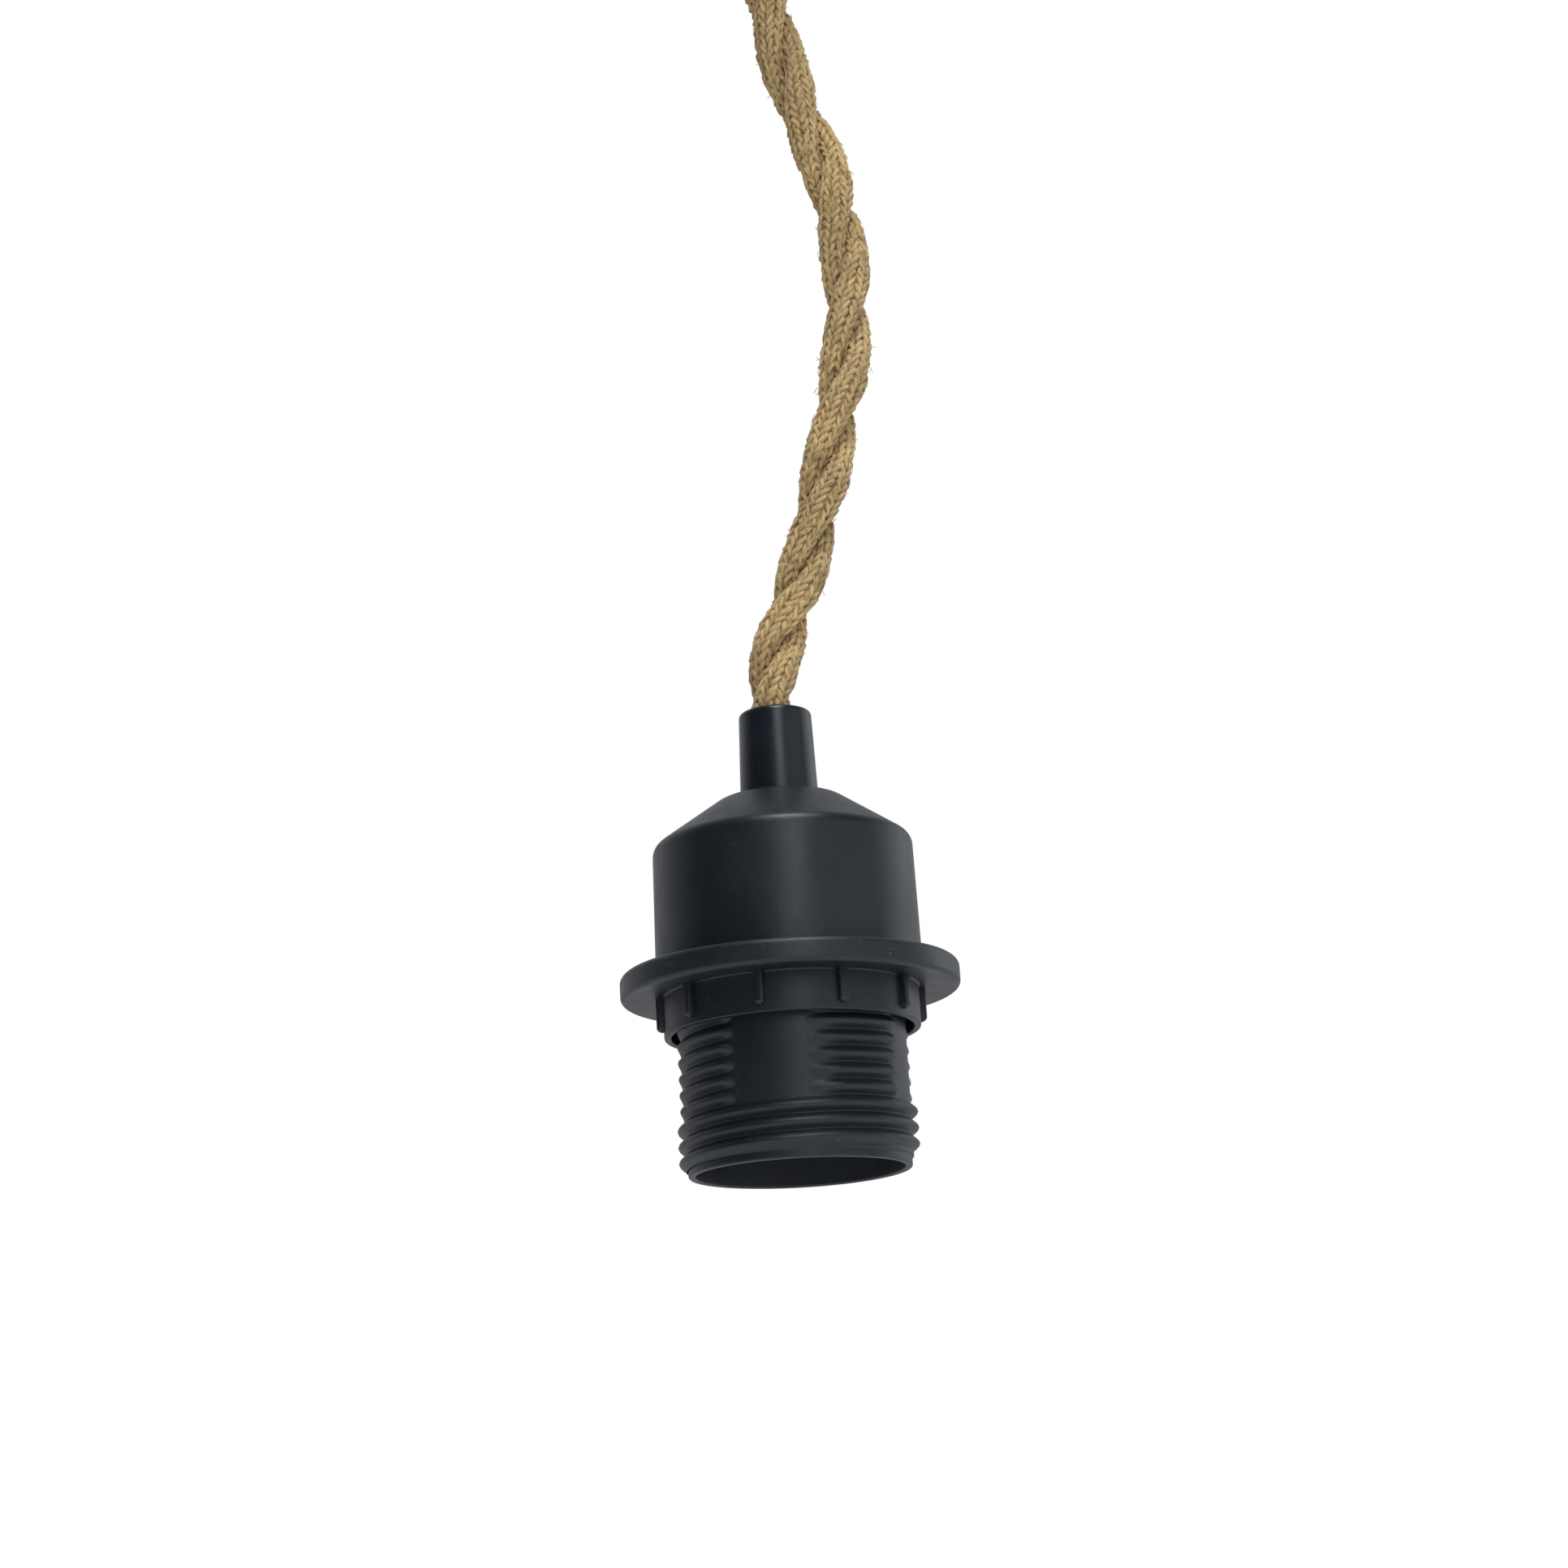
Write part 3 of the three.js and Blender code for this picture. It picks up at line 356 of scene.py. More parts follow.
def build_jute_fibres():
    """Jute yarn: hair-fine strands along the yarn, paler and darker ones side by side, dark slubs, and
    painted shade where the yarn faces into the gaps between stitches.
    """
    tree, start, end = new_group(
        "Jute fibres",
        {"Color": "Color", "Normal": "Vector"},
        Dark=(0.1, 0.07, 0.03, 1.0),
        Middle=(0.3, 0.2, 0.1, 1.0),
        Pale=(0.5, 0.4, 0.2, 1.0),
        Fibre_Depth=0.00004,
    )
    place = object_place(tree)
    in_yarn = attribute(tree, "section", "Vector") * FIBRES_ACROSS
    in_yarn = in_yarn + vector(tree, z=attribute(tree, "along") * FIBRES_ALONG)
    fibres = noise(tree, in_yarn, scale=1.0, detail=3.0, roughness=0.65)
    slubs = noise(tree, place, scale=800.0, roughness=0.6)
    stretches = noise(tree, place, scale=45.0, detail=1.0) + noise(tree, place, scale=260.0)
    tone = mix_colour(share_between(fibres, low=0.36, high=0.64), start["Middle"], start["Pale"])
    # painted shade: where the yarn faces into the gaps between stitches its colour is pulled towards Dark,
    # as shade falls there; the core gets it through its Core Shade
    painted_gap_shade = remap(attribute(tree, "facing"), MOST_GAP_SHADE, 0.0, from_high=0.7)
    slubs_and_gap_shade = painted_gap_shade + share_between(slubs, low=0.55, high=0.75) * MOST_SLUB
    tone = mix_colour(slubs_and_gap_shade.step("MINIMUM", 1.0), tone, start["Dark"])
    shade = remap(stretches, low=0.8, high=1.2, from_low=0.7, from_high=1.3)
    feed(end, Color=tone * shade, Normal=bump(fibres, start["Fibre Depth"]))
    return tree


drawn_metal = build_drawn_metal()
jute_fibres = build_jute_fibres()
print("shader groups:", [group.name for group in bpy.data.node_groups])


# %% Colours and materials
def linear(red, green, blue):
    """A colour as it is seen on a screen, in parts of 255, as the light that the shader works in."""
    parts = [value / 255 for value in (red, green, blue)]
    light = [p / 12.92 if p <= 0.04045 else ((p + 0.055) / 1.055) ** 2.4 for p in parts]
    return (*light, 1.0)


def new_material(name, **settings):
    """A material whose Principled BSDF holds the plain values given, by the names of its sockets."""
    material = bpy.data.materials.new(name)
    material.use_nodes = True
    tree = material.node_tree
    shader = tree.nodes["Principled BSDF"].inputs
    feed(shader, **settings)
    return material, tree, shader


def place_group(tree, group, **values):
    node = tree.nodes.new("ShaderNodeGroup")
    node.node_tree = group
    feed(node.inputs, **values)
    return node


# %% Materials of the set
SCUFF_COLOUR = linear(120, 122, 124)  # dust grey


def plastic(name, dark, light, low, high, grain=0.00001, patch=0.012, scuffed=0.0):
    """Moulded plastic, whose colour drifts a little between two tones, with pale scuffs where they show."""
    material, tree, shader = new_material(name)
    drift = share_between(noise(tree, object_place(tree), scale=90.0, detail=3.0), NOISE_LOW, NOISE_HIGH)
    colour = mix_colour(drift, linear(*dark), linear(*light))
    if scuffed:
        worn = place_group(tree, scuffs, Amount=scuffed)
        colour = mix_colour(output(worn), colour, SCUFF_COLOUR)
    shine = place_group(tree, handled_shine, Low=low, High=high, Patch_Size=patch)
    skin = place_group(tree, moulded_skin, Grain_Depth=grain)
    feed(shader, Base_Color=colour, Roughness=output(shine), Normal=output(skin))
    return material


def metal(name, dark, light, low, high, line=0.0001):
    material, tree, shader = new_material(name, Metallic=1.0)
    drawn = place_group(tree, drawn_metal, Line_Size=line, Low=low, High=high)
    tone = share_between(output(drawn, "Tone"), low=0.25, high=0.75)
    feed(shader, Base_Color=mix_colour(tone, linear(*dark), linear(*light)))
    feed(shader, Roughness=output(drawn, "Roughness"), Normal=output(drawn, "Normal"))
    return material


def jute(name, dark, middle, pale):
    softness = {"Roughness": 0.85, "Specular_IOR_Level": 0.25, "Sheen_Weight": 0.12, "Sheen_Roughness": 0.6}
    material, tree, shader = new_material(name, **softness)
    fibres = place_group(tree, jute_fibres, Dark=linear(*dark), Middle=linear(*middle), Pale=linear(*pale))
    feed(shader, Base_Color=output(fibres, "Color"), Normal=output(fibres, "Normal"))
    return material


satin_charcoal = plastic("satin_charcoal", (17, 23, 30), (22, 28, 35), 0.36, 0.46, scuffed=0.12)
moulded_charcoal = plastic("moulded_charcoal", (17, 23, 30), (23, 29, 36), 0.39, 0.49, scuffed=0.25)
glossy_charcoal = plastic(
    "glossy_charcoal", (18, 24, 30), (23, 28, 35), 0.27, 0.37, grain=0.000005, patch=0.008, scuffed=0.08
)
cream_plastic = plastic("cream_plastic", (222, 214, 194), (232, 226, 208), 0.45, 0.6)
brown_insulation = plastic("brown_insulation", (86, 50, 32), (98, 58, 38), 0.4, 0.5)
blue_insulation = plastic("blue_insulation", (42, 86, 150), (50, 96, 162), 0.4, 0.5)
satin_brass = metal("satin_brass", (176, 138, 62), (214, 178, 96), 0.28, 0.42)
zinc_plate = metal("zinc_plate", (150, 153, 156), (196, 198, 200), 0.3, 0.46, line=0.00014)
# the first colour of each jute is both the colour of its dark slubs and the painted shade between stitches
jute_yarn = jute("jute_yarn", (120, 88, 43), (154, 127, 83), (204, 177, 126))
jute_hair = jute("jute_hair", (112, 83, 43), (178, 151, 103), (216, 193, 146))
print("materials:", len(bpy.data.materials))

# %% [markdown]
# ## The cord's route
#
# The cord keeps the shallow bend that it had in its box. Its points are listed along the line that the
# photograph shows, and one smooth curve runs through them, from inside the rose's grip to inside the
# holder's. The two strands wind round each other, and the photograph shows where: at each bulge they lie
# side by side, half a turn after the last one. So the curve carries the turn of the strands as its tilt.

# %% Route
CORD_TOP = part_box("cord")[1][2]
CORD_ROUTE = [
    (0.0, 0.0, 0.0),
    (0.0, 0.0, -0.0057),
    (0.00015, 0.0, -0.0117),
    (0.0009, 0.0002, -0.0177),
    (0.0021, 0.0005, -0.0237),
    (0.0035, 0.0009, -0.0297),
    (0.005, 0.0013, -0.0357),
    (0.0062, 0.0017, -0.0417),
    (0.0071, 0.002, -0.0477),
    (0.0081, 0.0022, -0.0537),
    (0.0095, 0.0023, -0.0597),
    (0.0113, 0.0023, -0.0657),
    (0.0132, 0.0021, -0.0717),
    (0.0149, 0.0018, -0.0777),
    (0.0161, 0.0014, -0.0837),
    (0.0169, 0.0009, -0.0897),
    (0.01725, 0.0003, -0.0967),
    (0.0172, -0.0003, -0.1037),
    (0.01675, -0.0009, -0.1107),
    (0.0158, -0.0014, -0.1177),
    (0.0143, -0.0017, -0.1247),
    (0.0126, -0.0019, -0.1317),
    (0.0109, -0.0019, -0.1387),
    (0.0091, -0.0017, -0.1457),
    (0.007, -0.0014, -0.1527),
    (0.0049, -0.001, -0.1587),
    (0.0025, -0.0006, -0.1647),
    (0.00085, -0.0003, -0.1697),
    (-0.00015, -0.0001, -0.1747),
    (-0.0004, 0.0, -0.1797),
    (-0.0003, 0.0, -0.1847),
    (-0.0002, 0.0, -0.1906),
]
# the lengths along the cord at which its strands lie side by side
BULGES = [-0.006, 0.0142, 0.0348, 0.0555, 0.0764, 0.097, 0.1174, 0.1386, 0.1577, 0.1736, 0.1905, 0.21]
STEPS_BETWEEN_POINTS = 8


def smooth_line(points, steps):
    """A smooth curve through the points, as many short straight pieces."""
    knots = [Vector(p) for p in points]
    knots = [2 * knots[0] - knots[1], *knots, 2 * knots[-1] - knots[-2]]
    line = []
    for a, b, c, d in zip(knots, knots[1:], knots[2:], knots[3:]):
        for i in range(steps):
            t = i / steps
            bend = (2 * a - 5 * b + 4 * c - d) * t**2 + (3 * b - 3 * c + d - a) * t**3
            line.append((2 * b + (c - a) * t + bend) / 2)
    return [*line, knots[-2]]


def lengths_along(line):
    total, lengths = 0.0, [0.0]
    for a, b in zip(line, line[1:]):
        total += (b - a).length
        lengths.append(total)
    return lengths


def turn_at(length):
    """The turn of the two strands: half a turn from each bulge to the next."""
    after = next(i for i, mark in enumerate(BULGES) if mark > length)
    before, share = BULGES[after - 1], length - BULGES[after - 1]
    return pi * (after - 1 + share / (BULGES[after] - before))


route = [Vector(p) + Vector((0, 0, CORD_TOP)) for p in smooth_line(CORD_ROUTE, STEPS_BETWEEN_POINTS)]
route_lengths = lengths_along(route)


def route_object():
    data = bpy.data.curves.new("cord_route", "CURVE")
    data.dimensions = "3D"
    spline = data.splines.new("POLY")
    spline.points.add(len(route) - 1)
    for point, place, length in zip(spline.points, route, route_lengths):
        point.co = (*place, 1.0)
        point.tilt = turn_at(length)
    return add_object("cord_route", data)


cord_route = route_object()

# %% [markdown]
# ## The knitted cover
#
# Each strand wears a knitted tube of jute. Knitting is one yarn that runs round and round in small loops,
# and what shows of each loop is its two slanted legs, which make the columns of Vs in the photograph. A
# bump map can't give them their shadows and their rough outline, so the yarn is modelled: a tree walks
# once round the strand for each course of loops, swings the yarn to and fro, lifts it where the legs
# show, and puts the result round the twisted route.

# %% Helpers for geometry
def stored(geometry, name, value, kind="FLOAT"):
    """The geometry with a value kept on its points, under a name that materials can read too."""
    inputs = {"Geometry": geometry, "Name": name, "Value": value}
    return made(geometry.tree, "GeometryNodeStoreNamedAttribute", inputs, data_type=kind, domain="POINT")


def named(tree, name, kind="FLOAT"):
    return made(tree, "GeometryNodeInputNamedAttribute", {"Name": name}, data_type=kind)


def placed(geometry, position):
    return made(geometry.tree, "GeometryNodeSetPosition", {"Geometry": geometry, "Position": position})


def line_of_points(tree, count):
    line = made(tree, "GeometryNodeMeshLine", {"Count": count})
    return made(tree, "GeometryNodeMeshToCurve", {"Mesh": line})


def swept(line, section, scale=None):
    inputs = {"Curve": line, "Profile Curve": section, "Fill Caps": True, "Scale": scale}
    return made(line.tree, "GeometryNodeCurveToMesh", inputs)


def tube_round(line, radius, sides, scale=None):
    """A tube round a line, which keeps where each of its points lies in its section."""
    ring = made(line.tree, "GeometryNodeCurvePrimitiveCircle", {"Resolution": sides, "Radius": radius})
    place = made(line.tree, "GeometryNodeInputPosition")
    return swept(line, stored(ring, "section", place, "FLOAT_VECTOR"), scale)


def wandering(place, scale):
    """A vector that changes from place to place, and is nothing on average."""
    return noise(place.tree, place, scale, detail=1.0, part="Color") - (0.5, 0.5, 0.5)


def twisted_frame(curve, length):
    """The curve's point at a length, the ways from it to the first strand and across, and the turn."""
    tilt = made(curve.tree, "GeometryNodeInputCurveTilt")
    inputs = {"Curves": curve, "Value": tilt, "Length": length}
    settings = {"mode": "LENGTH", "data_type": "FLOAT", "use_all_curves": True}
    sample = add_node(curve.tree, "GeometryNodeSampleCurve", inputs, **settings)
    place, tangent, turn = (output(sample, label) for label in ("Position", "Tangent", "Value"))
    ahead = tangent.step("CROSS_PRODUCT", (1.0, 0.0, 0.0)).step("NORMALIZE")
    aside = ahead.step("CROSS_PRODUCT", tangent)
    cosine, sine = turn.step("COSINE"), turn.step("SINE")
    return place, aside * cosine + ahead * sine, ahead * cosine - aside * sine, turn


# %% Knitted cover as a tree
STITCH_SAMPLES = 10
YARN_SIDES, CORE_SIDES = 5, 10
STITCH_WANDER, COURSE_WANDER = 1300.0, 380.0  # cells to the metre, within a stitch and over a few
SLUB_SCALE = 700.0


def build_knitted_strand():
    tree, start, end = new_geometry_tree(
        "Knitted strand",
        Side=1.0,
        Offset=0.0021,
        Half_Width=0.00285,
        Half_Thickness=0.0021,
        Columns=5,
        Course=0.0016,
        Stitch_Height=0.0031,
        Swing=0.28,
        Lift=0.00038,
        Yarn_Radius=0.00055,
        Unevenness=0.0004,
        Slub=0.5,
        Core_Radius=0.002,
        Core_Shade=0.5,
        Material="material",
    )
    route_in = start["Geometry"]
    total = made(tree, "GeometryNodeCurveLength", {"Curve": route_in})
    courses = (total / start["Course"]).step("FLOOR")
    yarn = line_of_points(tree, courses * start["Columns"] * STITCH_SAMPLES)

    loop = made(tree, "GeometryNodeInputIndex") / STITCH_SAMPLES
    phase = loop * FULL_TURN
    swing = start["Swing"] * (phase * 2.0).step("SINE")
    turns = (loop + swing) / start["Columns"]
    rise = phase.step("COSINE") * (start["Stitch Height"] / 2.0)
    climbed = loop / start["Columns"] * start["Course"]
    length = (climbed + rise).step("MINIMUM", total).step("MAXIMUM", 0.0)
    lift = (phase * 2.0).step("COSINE") * start["Lift"]

    place, outwards, across, twist = twisted_frame(route_in, length)
    angle = turns * FULL_TURN - twist
    side = start["Side"] * start["Offset"]
    thick = start["Half Thickness"] - start["Yarn Radius"] - lift
    wide = start["Half Width"] - start["Yarn Radius"] - lift
    out_by = side + thick * angle.step("COSINE")
    on_strand = place + outwards * out_by + across * (wide * angle.step("SINE"))
    wander = wandering(on_strand, STITCH_WANDER) + wandering(on_strand, COURSE_WANDER)
    away = (on_strand - (place + outwards * side)).step("NORMALIZE")
    yarn = stored(yarn, "away", away, "FLOAT_VECTOR")
    yarn = placed(yarn, on_strand + wander * (start["Unevenness"] * 2.0))

    own_length = made(tree, "GeometryNodeSplineParameter", part="Length")
    yarn = stored(yarn, "along", own_length)
    slubs = noise(tree, made(tree, "GeometryNodeInputPosition"), SLUB_SCALE, detail=1.0) - 0.5
    knitted = tube_round(yarn, start["Yarn Radius"], YARN_SIDES, slubs * start["Slub"] * 2.0 + 1.0)
    normal = made(tree, "GeometryNodeInputNormal")
    facing = normal.step("DOT_PRODUCT", named(tree, "away", "FLOAT_VECTOR"))
    knitted = stored(knitted, "facing", facing)

    place, outwards, across, twist = twisted_frame(route_in, own_length)
    core_line = stored(placed(route_in, place + outwards * side), "along", own_length)
    # painted shade: the core tube under the yarn fills the gaps, and its Core Shade darkens it in the jute
    # material as if in shadow below the stitches
    core_line = stored(core_line, "facing", start["Core Shade"])
    core = tube_round(core_line, start["Core Radius"], CORE_SIDES)
    join = add_node(tree, "GeometryNodeJoinGeometry")
    for part in (core, knitted):
        set_input(join.inputs[0], part)
    finish_tree(output(join), end, start["Material"])
    return tree


knitted_strand = build_knitted_strand()
print("knitted strand tree:", len(knitted_strand.nodes), "nodes")


# %% Cord
def add_piece(name, mesh, replaced=(), body="pendant"):
    """A finished piece at the origin, which rides on a body and hides the solids it replaces."""
    piece = add_object(name, mesh)
    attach(piece, body)
    if replaced:
        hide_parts(*replaced)
    return piece


def joined(name, meshes):
    """Several meshes as one, each with its own materials kept."""
    objects = [add_object(f"{name}_{i}", mesh) for i, mesh in enumerate(meshes)]
    with bpy.context.temp_override(active_object=objects[0], selected_editable_objects=objects):
        bpy.ops.object.join()
    mesh = objects[0].data
    bpy.data.objects.remove(objects[0])
    mesh.name = name
    return mesh


strands = [
    mesh_from_tree(knitted_strand, f"strand_{side:+.0f}", cord_route, Side=side, Material=jute_yarn)
    for side in (1.0, -1.0)
]
cord = add_piece("cord_strands", joined("cord_strands", strands), ["cord"])
print("cord faces:", len(cord.data.polygons))

# %% [markdown]
# ## Jute hairs
#
# Jute is never quite smooth: pale hairs lie over the stitches in all directions, and a few stand away and
# blur the outline. One tree grows both. It scatters points over the outer side of the yarn, puts one bent
# hair on each, and turns and sizes each by chance, with a fixed seed, so that they are always the same.

# %% Hair tree
OUTER_FACING = 0.85  # hairs grow only where the yarn faces outwards this much
HAIR_MIDDLE, HAIR_TIP, HAIR_ASIDE = 0.35, 0.85, 0.2  # shares of the hair's length
HAIR_STEPS, HAIR_SIDES = 3, 3
MOST_LEAN = 0.08


def random_value(tree, low, high, kind):
    """A random number or vector between two limits, which differs from point to point."""
    return made(tree, "FunctionNodeRandomValue", {"Min": low, "Max": high}, data_type=kind)


def build_jute_hairs():
    tree, start, end = new_geometry_tree(
        "Jute hairs",
        Density=60000.0,
        Seed=7,
        Hair_Length=0.0016,
        Hair_Radius=0.00003,
        Rise=0.5,
        Tip_Rise=0.6,
        Shortest=0.4,
        Longest=1.6,
        Material="material",
    )
    outer = named(tree, "facing").step("GREATER_THAN", OUTER_FACING)
    scatter = {
        "Mesh": start["Geometry"],
        "Selection": outer,
        "Density": start["Density"],
        "Seed": start["Seed"],
    }
    points = add_node(tree, "GeometryNodeDistributePointsOnFaces", scatter)
    reach = start["Hair Length"]
    middle = vector(tree, reach * HAIR_MIDDLE, 0.0, reach * start["Rise"])
    tip = vector(tree, reach * HAIR_TIP, reach * HAIR_ASIDE, reach * start["Tip Rise"])
    bend = {"Resolution": HAIR_STEPS, "Start": (0.0, 0.0, 0.0), "Middle": middle, "End": tip}
    hair_line = made(tree, "GeometryNodeCurveQuadraticBezier", bend)
    along = made(tree, "GeometryNodeSplineParameter", part="Length")
    hair_line = stored(stored(hair_line, "along", along), "facing", 1.0)
    hair = tube_round(hair_line, start["Hair Radius"], HAIR_SIDES)
    lean_limits = (-MOST_LEAN, -MOST_LEAN, 0.0), (MOST_LEAN, MOST_LEAN, FULL_TURN)
    lean = random_value(tree, *lean_limits, "FLOAT_VECTOR")
    lean = made(tree, "FunctionNodeEulerToRotation", {"Euler": lean})
    turn = {"Rotation": output(points, "Rotation"), "Rotate By": lean}
    turn = made(tree, "FunctionNodeRotateRotation", turn, rotation_space="LOCAL")
    size = random_value(tree, start["Shortest"], start["Longest"], "FLOAT")
    grown = {"Points": output(points, "Points"), "Instance": hair, "Rotation": turn, "Scale": size}
    finish_tree(made(tree, "GeometryNodeInstanceOnPoints", grown), end, start["Material"])
    return tree


jute_hairs = build_jute_hairs()
lying_hairs = mesh_from_tree(
    jute_hairs,
    "lying_hairs",
    cord,
    Density=550000.0,
    Hair_Length=0.0014,
    Hair_Radius=0.00005,
    Rise=0.035,
    Tip_Rise=-0.16,
    Material=jute_hair,
)
stray_hairs = mesh_from_tree(
    jute_hairs, "stray_hairs", cord, Density=2400.0, Seed=11, Hair_Length=0.001, Material=jute_hair
)
fibres = add_piece("jute_hairs", joined("jute_hairs", [lying_hairs, stray_hairs]))
print("jute hair faces:", len(fibres.data.polygons))

# %% [markdown]
# The strands and their hairs leave the rose's grip and end in the holder's.

# %% [markdown]
# ## Turned shapes
#
# The cap, the cord grips, the shade ring, the skirt and the rose are round mouldings. Each is drawn as half
# of its section, a closed outline of corners, and turned round the axis. No edge of a real moulding is
# quite sharp, so each corner has a rounding of its own, and it is the rounding that catches the light.

# %% Turning an outline
TURN_STEPS = 144
ARC_STEPS = 6
SHARP_ANGLE = radians(32)


def filleted(corners):
    """The points of a closed outline of (radius, height, rounding) corners, in millimetres."""
    places = [(Vector(corner[:2]), corner[2] if len(corner) > 2 else 0.0) for corner in corners]
    points = []
    for i, (corner, rounding) in enumerate(places):
        before, after = places[i - 1][0], places[(i + 1) % len(places)][0]
        if not rounding:
            points.append(corner)
            continue
        inward, onward = (before - corner).normalized(), (after - corner).normalized()
        half = inward.angle(onward) / 2
        centre = corner + (inward + onward).normalized() * (rounding / sin(half))
        start = corner + inward * (rounding / tan(half)) - centre
        end = corner + onward * (rounding / tan(half)) - centre
        for step in range(ARC_STEPS + 1):
            points.append(centre + start.lerp(end, step / ARC_STEPS).normalized() * rounding)
    return points


def smooth_by_angle(mesh, sharp_angle=SHARP_ANGLE):
    """Merges what touches, turns the faces outwards, and keeps only the sharp edges sharp."""
    shape = bmesh.new()
    shape.from_mesh(mesh)
    bmesh.ops.remove_doubles(shape, verts=shape.verts, dist=1e-7)
    bmesh.ops.recalc_face_normals(shape, faces=shape.faces)
    for face in shape.faces:
        face.smooth = True
    for edge in shape.edges:
        edge.smooth = edge.calc_face_angle(0.0) < sharp_angle
    shape.to_mesh(mesh)
    shape.free()
    return mesh


def turned(name, corners, material, base=MOUTH, steps=TURN_STEPS):
    """A round part: the outline's heights are millimetres above the base, which is in metres."""
    outline = filleted(corners)
    corners_round = []
    for step in range(steps):
        angle = 2 * pi * step / steps
        for radius, height in outline:
            reach = radius * MM
            corners_round.append((reach * cos(angle), reach * sin(angle), base + height * MM))
    count, faces = len(outline), []
    for step in range(steps):
        here, there = step * count, (step + 1) % steps * count
        for i in range(count):
            j = (i + 1) % count
            faces.append((here + i, there + i, there + j, here + j))
    mesh = bpy.data.meshes.new(name)
    mesh.from_pydata(corners_round, [], faces)
    mesh.materials.append(material)
    return smooth_by_angle(mesh)


print("outlines are turned in", TURN_STEPS, "steps, with", ARC_STEPS, "to a rounding")

# %% [markdown]
# ## The threads
#
# The skirt's thread is cast in four panels, with plain strips between them where the mould parts, and
# three full turns below. It is one rounded ridge on a helix, so a tree makes it: a line of points climbs
# round the axis, a wave's section follows it, and in the plain strips the ridge is pressed flat onto the
# wall. The ridge fades slowly at the side where the mould draws off, and ends at once at the other. The
# same tree makes the thread inside the lamp sleeve and the fine ones on the rose's screws.

# %% Thread tree
STRIPS_FROM = 240.0  # degrees before the thread's start, where the strips' angles begin
STRIPS_REPEAT = 180.0
STRIP_EDGES = [
    # in degrees from 60 degrees left of the front, twice round: where a strip sinks in and comes out again
    ((23.0, 29.0), (64.0, 84.0)),
    ((117.5, 120.0), (147.0, 169.0)),
]
LEAD_IN = 40.0  # degrees in which the ridge rises at its start
CREST_FLATNESS = 0.85


def build_screw_thread():
    tree, start, end = new_geometry_tree(
        "Screw thread",
        Radius=0.019,
        Half_Width=0.0008,
        Height=0.0012,
        Pitch=0.0027,
        Start_Height=0.0,
        Turns=12.0,
        Plain_Above=1.0,
        Steps=120,
        Sides=26,
        Material="material",
    )
    radius = start["Radius"]
    ridge_line = line_of_points(tree, start["Turns"] * start["Steps"] + 1.0)
    turn = made(tree, "GeometryNodeInputIndex") / start["Steps"]
    height = start["Start Height"] + turn * start["Pitch"]
    degrees = turn * 360.0
    from_left = (degrees + STRIPS_FROM).step("FLOORED_MODULO", STRIPS_REPEAT)
    first, second = [
        smooth_share(from_left, *sinks) * (1.0 - smooth_share(from_left, *rises))
        for sinks, rises in STRIP_EDGES
    ]
    sunk = (first + second) * height.step("GREATER_THAN", start["Plain Above"])
    sunk = sunk.step("MAXIMUM", 1.0 - smooth_share(degrees, 0.0, LEAD_IN))
    angle = turn * FULL_TURN + pi / 2
    helix = vector(tree, radius * angle.step("COSINE"), radius * angle.step("SINE"), height)
    ridge_line = placed(stored(ridge_line, "sunk", sunk), helix)
    upright = made(tree, "GeometryNodeSetCurveNormal", {"Curve": ridge_line}, mode="Z_UP")

    circle = {"Resolution": start["Sides"], "Radius": 1.0}
    section = made(tree, "GeometryNodeCurvePrimitiveCircle", circle)
    point = made(tree, "GeometryNodeInputPosition")
    spot = add_node(tree, "ShaderNodeSeparateXYZ", {"Vector": point})
    out, up = output(spot, "X"), output(spot, "Y")
    wave = (((up * pi).step("COSINE") + 1.0) * 0.5) ** CREST_FLATNESS
    crest = wave * out.step("GREATER_THAN", 0.0) * start["Height"]
    ridge = swept(upright, placed(section, vector(tree, crest, up * start["Half Width"])))

    reach = (point * (1.0, 1.0, 0.0)).step("LENGTH")
    raised = (reach - radius) * (1.0 - named(tree, "sunk"))
    share = (radius + raised) / reach
    ridge = placed(ridge, point * vector(tree, share, share, 1.0))
    finish_tree(ridge, end, start["Material"])
    return tree


screw_thread = build_screw_thread()
print("thread tree:", len(screw_thread.nodes), "nodes")

# %% [markdown]
# ## The skirt and the lamp sleeve
#
# The skirt is one moulding: an outer tube with a thin lip at its mouth, and the lamp's threaded sleeve
# inside it, joined by a floor that can just be seen in the dark.

# %% Skirt
MOUTH_RADIUS, SKIRT_RADIUS, SKIRT_HEIGHT = 17.5, 19.0, 46.0
LIP_RADIUS, LIP_HEIGHT = 18.7, 1.4
LAND_RADIUS, LAND_BASE = 20.15, 34.9
SLEEVE_RADIUS, SLEEVE_WALL, SLEEVE_FLOOR, SLEEVE_TOP = 13.35, 1.4, 11.0, 36.0
THREAD_PITCH, THREAD_HALF_WIDTH, THREAD_START, UNBROKEN_TURNS = 2.7, 1.42, 1.72, 3
THREAD_SINK = 0.05  # how far a ridge's foot lies in the wall
LAMP_PITCH, LAMP_HALF_WIDTH, LAMP_CREST, LAMP_THREAD_MARGIN = 3.63, 1.75, 12.35, 1.2

